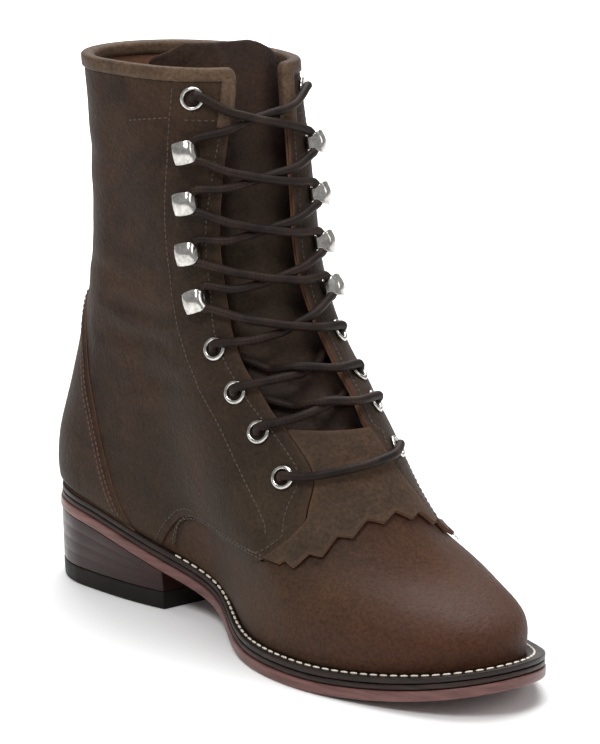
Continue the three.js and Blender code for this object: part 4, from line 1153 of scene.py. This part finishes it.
def binding_path():
    def edge_v(u, sign):
        v = np.linspace(0, 0.5, 400) * sign
        p = last_point(np.full(400, u), v)
        beyond = sign * (p[:, 1] - throat_edge(p[:, 2], sign))
        return v[np.argmax(beyond > 0)]
    us = [u for u in np.linspace(0.86, 1.0, 30) if last_point(u, 0.1)[2] > BINDING_END]
    inner = [(u, edge_v(u, INNER_SIDE)) for u in us[:-1]]
    outer = [(u, edge_v(u, -INNER_SIDE)) for u in us[:-1]]
    start, end = outer[-1][1] + 0.012, 2 + inner[-1][1] - 0.012
    collar = [(1.0, v) for v in np.linspace(start, end, 150)]
    down = [(u, 2 + v) for u, v in inner[::-1]]
    return np.array(outer + collar + down)


def make_binding():
    path = binding_path()
    smoothed = path.copy()
    for _ in range(3):
        smoothed[1:-1] = (smoothed[:-2] + 2 * smoothed[1:-1] + smoothed[2:]) / 4
    u, v = curve_through(smoothed, 2).T
    base, normal = last_point(u, v), last_normal(u, v)
    run = np.gradient(base, axis=0)
    out = np.cross(normal, run)
    out /= np.linalg.norm(out, axis=1, keepdims=True)
    middle = last_point(0.9, 1.0)
    if out[len(out) // 2] @ (base[len(out) // 2] - middle) < 0:
        out = -out
    step = 1e-3
    along_u = (last_point(u, v) - last_point(u - step, v)) / step
    along_v = (last_point(u, v + step) - last_point(u, v - step)) / (2 * step)
    loops = []
    for deep, layer, swell in BINDING_SECTION:
        goal = out * deep
        size_u, size_v = (along_u ** 2).sum(1), (along_v ** 2).sum(1)
        cross = (along_u * along_v).sum(1)
        a, b = (goal * along_u).sum(1), (goal * along_v).sum(1)
        det = size_u * size_v - cross ** 2
        du, dv = (a * size_v - b * cross) / det, (b * size_u - a * cross) / det
        height = (LAP + GAP) * layer if layer > 0 else (WALL + GAP) * layer / 0.45
        inside = np.minimum(u + du, 1.0)
        surface = last_point(inside, v + dv) + last_normal(inside, v + dv) * (height + BINDING * swell)
        loops.append(surface + out * max(deep, 0))
    loops = np.stack(loops, axis=1)
    points, faces = through_loops(loops)
    piece = new_piece("collar_fold", points, faces, binding_leather, ("collar_binding",),
                      {"edge_mm": np.full(len(points), 9.0)})
    return face_outward(piece)


# Sole

SOLE_COUNT = 150
BREAST_SHARES = (0.006, 0.03, 0.25, 0.5)


def outline_point(t, side, offset):
    def plan(s):
        share = eased(np.clip(s, 0, 1))
        y = middle_y(share) + side * feather_half(share)
        return np.stack([FEATHER_BACK + share * FEATHER_LENGTH, y], axis=-1)
    run = plan(t + NUDGE) - plan(t - NUDGE)
    run /= np.linalg.norm(run, axis=-1, keepdims=True)
    out = np.stack([-side * run[..., 1], side * run[..., 0]], axis=-1)
    out[t <= 0] = [-1, 0]
    out[t >= 1] = [1, 0]
    return plan(t) + out * np.asarray(offset)[..., None]


def sole_margin(t):
    return feather_table["margin"](eased(t)) * WELT_MARGIN


# A loop round the sole from the heel along the right side and back on the left, pulled in by
# inset(t) from its edge, and cut square at end_x where that is given
def sole_loop(z_of, inset, end_x=None):
    t_end = 1.0
    if end_x is not None:
        t_end = math.acos(1 - 2 * (end_x - FEATHER_BACK) / FEATHER_LENGTH) / math.pi
    t = np.linspace(0, t_end, SOLE_COUNT + 1)
    sides = []
    for sign in (-1, 1):
        p = outline_point(t, sign, sole_margin(t) - inset(t))
        if end_x is not None:
            p[:, 0] = np.minimum(p[:, 0], end_x)
            p[-1, 0] = end_x
        sides.append(p)
    if end_x is not None:
        a, b = sides[0][-1].copy(), sides[1][-1].copy()
        sides = [np.vstack([sides[0], [lerp(a, b, s) for s in BREAST_SHARES]]),
                 np.vstack([sides[1], [lerp(b, a, s) for s in BREAST_SHARES]])]
    plan = np.vstack([sides[0], sides[1][1:-1][::-1]])
    return np.column_stack([plan, z_of(plan[:, 0])])


# A closed plate through loops from its underside to its top
def new_plate(name, loops, material, node):
    loops = np.asarray(loops)
    rows, n = loops.shape[:2]
    faces = grid_faces(rows, n, wrap=True).tolist()
    for i in range(n // 2):
        a, b, c, d = i, i + 1, (n - i - 1) % n, (n - i) % n
        low = [a, b, c, d] if a != d else [a, b, c]
        low = low if b != c else [a, b, d]
        faces.append(low[::-1])
        faces.append([(rows - 1) * n + k for k in low])
    caps = len(faces) - 2 * (n // 2)
    piece = new_piece(name, loops.reshape(-1, 3), faces, material, (node,))
    for polygon in piece.data.polygons[caps:]:
        polygon.use_smooth = False
    return face_outward(piece)


def above(height):
    return lambda x: bottom_z(x) + height


def level(height):
    return lambda x: np.full(np.shape(x), height)


def even(inset):
    return lambda t: np.full(np.shape(t), inset)


# Underside and top corners of an edge: inset and height in millimetres from the corner
ROUND_LOW = [(1.1, 0.0), (0.35, 0.12), (0.08, 0.4), (0.0, 0.9)]
ROUND_HIGH = [(0.0, -0.7), (0.08, -0.3), (0.3, -0.08), (0.8, 0.0)]


def layer_loops(low, high, edge):
    loops = [sole_loop(above(low + h), even(edge + inset)) for inset, h in ROUND_LOW]
    return loops + [sole_loop(above(high + h), even(edge + inset)) for inset, h in ROUND_HIGH]


LIFTS = 4
LIFT_GROOVE = 0.12
# Share of a lift's height, and how far its edge is pulled in there
LIFT_PROFILE = [(0.0, LIFT_GROOVE), (0.05, 0.02), (0.5, 0.0), (0.95, 0.02), (1.0, LIFT_GROOVE)]


def make_heel():
    deep = HEEL_INSET + HEEL_TAPER

    def taper(height):
        return deep - HEEL_TAPER * height / HEEL_HEIGHT
    cap = [sole_loop(level(h), even(deep + inset), HEEL_LENGTH) for inset, h in ROUND_LOW]
    cap += [sole_loop(level(HEEL_CAP + h), even(taper(HEEL_CAP) + inset), HEEL_LENGTH)
            for inset, h in ROUND_HIGH]
    new_plate("heel_lift", cap, heel_rubber, "heel_cap")
    floor = HEEL_CAP + GAP
    stack = []
    for k in range(LIFTS):
        for share, sink in LIFT_PROFILE[1 if k else 0:]:
            part = (k + share) / LIFTS
            inset = lerp(taper(floor), HEEL_INSET, part) + sink
            stack.append(sole_loop(lambda x, f=part: lerp(floor, bottom_z(x) - GAP, f), even(inset),
                                   HEEL_LENGTH))
    new_plate("heel_stack_leather", stack, stack_leather, "heel_stack")


def make_soles():
    new_plate("outsole_leather", layer_loops(0.0, OUTSOLE, 0.0), outsole_leather, "outsole")
    low = OUTSOLE + GAP
    loops = layer_loops(low, low + MIDSOLE, EDGE_GAP)
    new_plate("midsole_leather", loops, midsole_leather, "midsole")
    low = OUTSOLE + MIDSOLE + 2 * GAP
    loops = layer_loops(low, low + WELT, EDGE_GAP)

    def inner(t):
        return sole_margin(t) + WELT_INSIDE
    loops.append(sole_loop(above(low + WELT), inner))
    loops.append(sole_loop(above(low), inner))
    points, faces = through_loops(loops, closed=True)
    face_outward(new_piece("welt_ring", points, faces, welt_leather, ("welt",)))


# Metal

# An eyelet's section from the bottom of its hole over the bead and back: radius and height
EYELET_PROFILE = [(EYELET_HOLE / 2, -3.9), (EYELET_HOLE / 2, 0.6), (3.30, 1.1), (3.65, 1.55), (4.20, 1.70),
                  (4.75, 1.52), (5.15, 1.10), (EYELET_RIM / 2, 0.62), (4.90, 0.42), (3.60, 0.35),
                  (3.60, -3.9)]
EYELET_SEGMENTS = 40


def make_eyelet(index, name, spot, sign):
    frame_here = lace_frame(spot, sign, LAP)
    angle = 2 * np.pi * np.arange(EYELET_SEGMENTS) / EYELET_SEGMENTS
    loops = [in_frame(frame_here, [(r * math.cos(a), h, r * math.sin(a)) for r, h in EYELET_PROFILE])
             for a in angle]
    points, faces = through_loops(loops, closed=True)
    node = f"eyelet_{name}_{index}"
    face_outward(new_piece(f"ring_{name}_{index}", points, faces, nickel, (node,)))


# A hook's middle line from the base plate round the neck to the lip: along the leather away from
# the throat, out of it, and half the width there
HOOK_LINE = [(4.3, 0.95, 3.6), (2.0, 0.95, 4.1), (-1.5, 0.95, 4.1), (-3.3, 1.05, 3.0), (-4.15, 1.8, 2.5),
             (-4.3, 3.0, 2.4), (-4.25, 4.3, 2.6), (-3.9, 5.5, 3.6), (-2.9, 6.35, 4.4), (-1.0, 6.75, 4.65),
             (1.2, 6.75, 4.65), (3.2, 6.35, 4.5), (4.6, 6.0, 4.2)]
HOOK_SHEET = 0.8


def make_hook(index, name, spot, sign):
    frame_here = lace_frame(spot, sign, LAP)
    line = curve_through(HOOK_LINE, 4)
    across = np.linspace(-1, 1, 17)
    dome = smooth((line[:, 1] - 5.0) / 1.5)
    places = np.stack([np.repeat(line[:, :1], 17, axis=1),
                       line[:, 1:2] + dome[:, None] * (1.5 * (1 - across ** 2) + 0.35 * np.abs(across) ** 8),
                       line[:, 2:] * across], axis=-1)
    points, faces = thick_grid(in_frame(frame_here, places), HOOK_SHEET)
    node = f"hook_{name}_{index}"
    face_outward(new_piece(f"lace_hook_{name}_{index}", points, faces, nickel, (node,)))


# Laces

LACE_ABOVE = LAP + LACE / 2 + 2 * GAP
LACE_BELOW = -(WALL + LACE / 2 + 2 * GAP)
MIDDLE_OFFSET = LACE / 2
HOOK_SHIFT = 0.012
CROSS_LIFT = 2.1
# The way through an eyelet from inside, and round a hook's neck from its lower end: along the
# leather away from the throat, out of it, and up along it
THROUGH_EYELET = [(0.3, -7.0, 0.0), (0.3, -3.0, 0.0), (0.2, 0.6, 0.0), (-0.9, 2.6, 0.3), (-3.2, 3.5, 0.9)]
ROUND_HOOK = [(-6.2, 3.2, -5.2), (-3.4, 3.6, -4.3), (-1.3, 3.8, -2.6), (-0.5, 3.8, 0.0), (-1.3, 3.8, 2.6),
              (-3.4, 3.6, 4.3), (-6.2, 3.2, 5.2)]


def over_leather(first, second, sign, knots):
    u0, v0 = lace_place(first, sign)
    u1, v1 = lace_place(second, -sign)
    points = []
    for t, offset in knots:
        u = lerp(u0, u1, t) + first["bow"] * math.sin(math.pi * t)
        points.append(offset_point(u, lerp(v0, v1, t), offset))
    return points


# One lace from its first eyelet up to the top one on alternate sides
def lace_path(side):
    sign = side
    over = LACE_ABOVE + 3 * GAP
    points = list(in_frame(lace_frame(LACING[1], sign, LAP), THROUGH_EYELET))
    for index in range(1, len(LACING) - 1):
        first, second = dict(LACING[index]), dict(LACING[index + 1])
        if first["kind"] == "hook":
            first["row"] += HOOK_SHIFT
        if second["kind"] == "hook":
            second["row"] -= HOOK_SHIFT
        cross = MIDDLE_OFFSET + (CROSS_LIFT if (sign == side) == (side == 1) else -CROSS_LIFT)
        knots = [(0.26, over), (0.40, (over + cross) / 2), (0.50, cross)]
        hidden = second["kind"] == "eyelet" and index < len(LACING) - 2
        if hidden:
            knots += [(0.60, 0.2), (0.68, LACE_BELOW), (0.78, LACE_BELOW - GAP), (0.90, LACE_BELOW - GAP)]
        else:
            knots += [(0.60, (over + cross) / 2), (0.74, over)]
        points += over_leather(first, second, sign, knots)
        sign = -sign
        frame_here = lace_frame(LACING[index + 1], sign, LAP)
        if second["kind"] == "hook":
            points += list(in_frame(frame_here, ROUND_HOOK))
        elif hidden:
            points += list(in_frame(frame_here, THROUGH_EYELET))
        else:
            points += list(in_frame(frame_here, THROUGH_EYELET[::-1]))
    return np.array(points)


def bar_path():
    first = LACING[0]
    start = list(in_frame(lace_frame(first, INNER_SIDE, LAP), THROUGH_EYELET[:-1]))
    over = LACE_ABOVE + KILTIE
    beside = LACE_ABOVE + 0.4
    knots = [(0.13, beside), (0.26, over), (0.5, over + 0.2), (0.74, over), (0.87, beside)]
    middle = over_leather(first, first, INNER_SIDE, knots)
    end = list(in_frame(lace_frame(first, -INNER_SIDE, LAP), THROUGH_EYELET[:-1]))
    return np.array(start + middle + end[::-1])


LACE_SIDES = 18
LACE_STEP = 0.55
BRAID = 5
BRAID_PITCH = 3.4


# A braided round lace along a path
def new_lace(name, path, replaces):
    line = resample(curve_through(path, 14), LACE_STEP)
    for _ in range(4):
        line[1:-1] = (line[:-2] + 2 * line[1:-1] + line[2:]) / 4
    run = np.gradient(line, axis=0)
    run /= np.linalg.norm(run, axis=1, keepdims=True)
    side = unit(np.cross(run[0], [0.3, 0.5, 0.8]))
    sides = []
    for direction in run:
        side = unit(side - direction * (side @ direction))
        sides.append(side)
    sides = np.array(sides)
    third = np.cross(run, sides)
    along = LACE_STEP * np.arange(len(line))
    angle = 2 * np.pi * np.arange(LACE_SIDES) / LACE_SIDES
    phase = 2 * np.pi * along[:, None] / BRAID_PITCH
    braid = np.cos(BRAID * angle + phase) * np.cos(BRAID * angle - phase)
    radius = LACE / 2 * (0.955 + 0.045 * braid)
    around = np.cos(angle)[:, None] * sides[:, None] + np.sin(angle)[:, None] * third[:, None]
    loops = line[:, None] + around * radius[..., None]
    points, faces = through_loops(loops)
    return face_outward(new_piece(name, points, faces, lace_cord, replaces, {"braid": braid.ravel()}))


def make_laces():
    new_lace("lace_first_row", bar_path(), ("lace_bar_1",))
    nodes = [f"lace_cross_{k}" for k in range(2, len(LACING))]
    new_lace("lace_from_inner", lace_path(INNER_SIDE), nodes)
    new_lace("lace_from_outer", lace_path(-INNER_SIDE), nodes)


# Stitching

# Length, width and height of a stitch
FINE_STITCH = (1.9, 0.75, 0.5)
WELT_STITCH = (3.5, 1.25, 0.9)
FINE_PITCH = 2.5
WELT_PITCH = 4.5
VAMP_ROWS_APART = [0.011, 0.004]
FLAP_ROW_IN = 3.0
# Where the welt's stitches start, and how far they lie from the feather edge as a share of the margin
WELT_STITCH_START = 92.0
WELT_STITCH_IN = 0.42


def bound(place):
    return place[2] > BINDING_END or feather_z(place[0]) > place[2] - 2


def make_upper_stitches():
    rows = [line for path in (EYESTAY_SEAM, COLLAR_ROW, TOP_ROW) for line in on_both_sides(path)]
    for line in on_both_sides(VAMP_SEAM):
        rows += [line, line + VAMP_ROWS_APART]
    places = []
    for line in rows:
        places += row_places(line, FINE_PITCH, LAP + 0.05)
    for line in field_lines(QUARTER_US, QUARTER_VS, flap_field, FLAP_ROW_IN):
        places += row_places(line, FINE_PITCH, LAP + 0.05, skip=bound)
    new_stitches("upper_stitches", places, *FINE_STITCH, tonal_thread, "leather")


def make_counter_stitches():
    places = []
    for inset in (2.2, 4.6):
        for line in field_lines(np.linspace(0.03, 0.62, 110), COUNTER_VS, counter_field, inset):
            places += row_places(line, FINE_PITCH, LAP + GAP + COUNTER + 0.02)
    new_stitches("counter_stitches", places, *FINE_STITCH, red_thread, "leather")


def make_welt_stitches():
    top = OUTSOLE + MIDSOLE + WELT + 2 * GAP
    t_start = math.acos(1 - 2 * (WELT_STITCH_START - FEATHER_BACK) / FEATHER_LENGTH) / math.pi
    t = np.linspace(t_start, 1, 300)
    offset = WELT_STITCH_IN * sole_margin(t)
    right = outline_point(t, -1, offset)
    left = outline_point(t, 1, offset)
    plan = np.vstack([right, left[:-1][::-1]])
    line = np.column_stack([plan, bottom_z(plan[:, 0]) + top + 0.1])
    run = np.concatenate([[0], np.cumsum(np.linalg.norm(np.diff(line, axis=0), axis=1))])
    count = int(run[-1] / WELT_PITCH)
    places = []
    for i in range(count):
        at = (i + 0.5) * run[-1] / count
        a, b, c = ([np.interp(s, run, line[:, k]) for k in range(3)] for s in (at - 1, at, at + 1))
        places.append((np.array(b), unit(np.array(c) - np.array(a)), np.array([0.0, 0.0, 1.0])))
    new_stitches("welt_stitches", places, *WELT_STITCH, welt_thread, "edge")


# Studio

def make_floor():
    mesh = bpy.data.meshes.new("floor")
    mesh.from_pydata([(-4, -4, 0), (4, -4, 0), (4, 4, 0), (-4, 4, 0)], [], [(0, 1, 2, 3)])
    floor = bpy.data.objects.new("floor", mesh)
    floor.location.z = -0.0002
    bpy.context.scene.collection.objects.link(floor)
    mesh.materials.append(studio_floor("studio_floor"))


def make_light(name, place, aim, size, power):
    data = bpy.data.lights.new(name, "AREA")
    data.shape = "DISK"
    data.size = size
    data.energy = power
    light = bpy.data.objects.new(name, data)
    light.location = place
    light.rotation_euler = (Vector(aim) - Vector(place)).to_track_quat("-Z", "Y").to_euler()
    bpy.context.scene.collection.objects.link(light)


def make_studio():
    make_floor()
    aim = (0.05, 0.0, 0.10)
    make_light("key", (0.45, -1.05, 1.35), aim, 0.6, 13)
    make_light("fill", (1.3, 0.5, 0.9), aim, 0.8, 3.5)
    make_light("back", (-1.6, 1.4, 1.9), (-2.0, 1.9, 0.0), 2.0, 90)
    make_light("top", (0.0, 0.3, 1.6), aim, 1.3, 19)
    world = bpy.data.worlds.new("studio")
    world.use_nodes = True
    background = world.node_tree.nodes["Background"]
    background.inputs["Color"].default_value = (1.0, 1.0, 1.0, 1.0)
    background.inputs["Strength"].default_value = 0.42
    bpy.context.scene.world = world
    bpy.context.scene.view_settings.view_transform = "Standard"


# The view: azimuth, elevation and roll in degrees, distance and the point looked at in metres
VIEW_AZIMUTH = 46.92
VIEW_ELEVATION = 13.344
VIEW_ROLL = 2.125
VIEW_DISTANCE = 1.5726
VIEW_TARGET = (0.0491, 0.0381, 0.110)
# How far the frame's centre lies from that point, to the right and down in the picture
FRAME_RIGHT = 0.0022
FRAME_DOWN = 0.0099
FRAME_HEIGHT = 36.0
LENS = 170.3


def make_camera():
    a, e, r = (math.radians(x) for x in (VIEW_AZIMUTH, VIEW_ELEVATION, VIEW_ROLL))
    back = Vector((math.sin(a) * math.cos(e), -math.cos(a) * math.cos(e), math.sin(e)))
    level = (-back).cross(Vector((0, 0, 1))).normalized()
    upright = level.cross(-back)
    right = level * math.cos(r) + upright * math.sin(r)
    up = upright * math.cos(r) - level * math.sin(r)
    place = Vector(VIEW_TARGET) + back * VIEW_DISTANCE
    aim = Vector(VIEW_TARGET) + right * FRAME_RIGHT - up * FRAME_DOWN
    back = (place - aim).normalized()
    right = (right - back * right.dot(back)).normalized()
    up = back.cross(right)
    data = bpy.data.cameras.new("camera")
    data.sensor_fit = "VERTICAL"
    data.sensor_height = FRAME_HEIGHT
    data.lens = LENS
    data.clip_end = 20.0
    camera = bpy.data.objects.new("camera", data)
    camera.matrix_world = Matrix([[right[i], up[i], back[i], place[i]] for i in range(3)] + [[0, 0, 0, 1]])
    bpy.context.scene.collection.objects.link(camera)
    bpy.context.scene.camera = camera


make_camera()
make_upper()
make_counter()
make_kiltie()
make_tongue()
make_binding()
make_heel()
make_soles()
for number, spot in enumerate(LACING, 1):
    for name, sign in SIDES.items():
        (make_hook if spot["kind"] == "hook" else make_eyelet)(number, name, spot, sign)
make_laces()
make_upper_stitches()
make_counter_stitches()
make_welt_stitches()
insole = frame["nodes"]["insole"]
insole.data.materials.clear()
insole.data.materials.append(insole_leather)
make_studio()

bpy.context.view_layer.update()
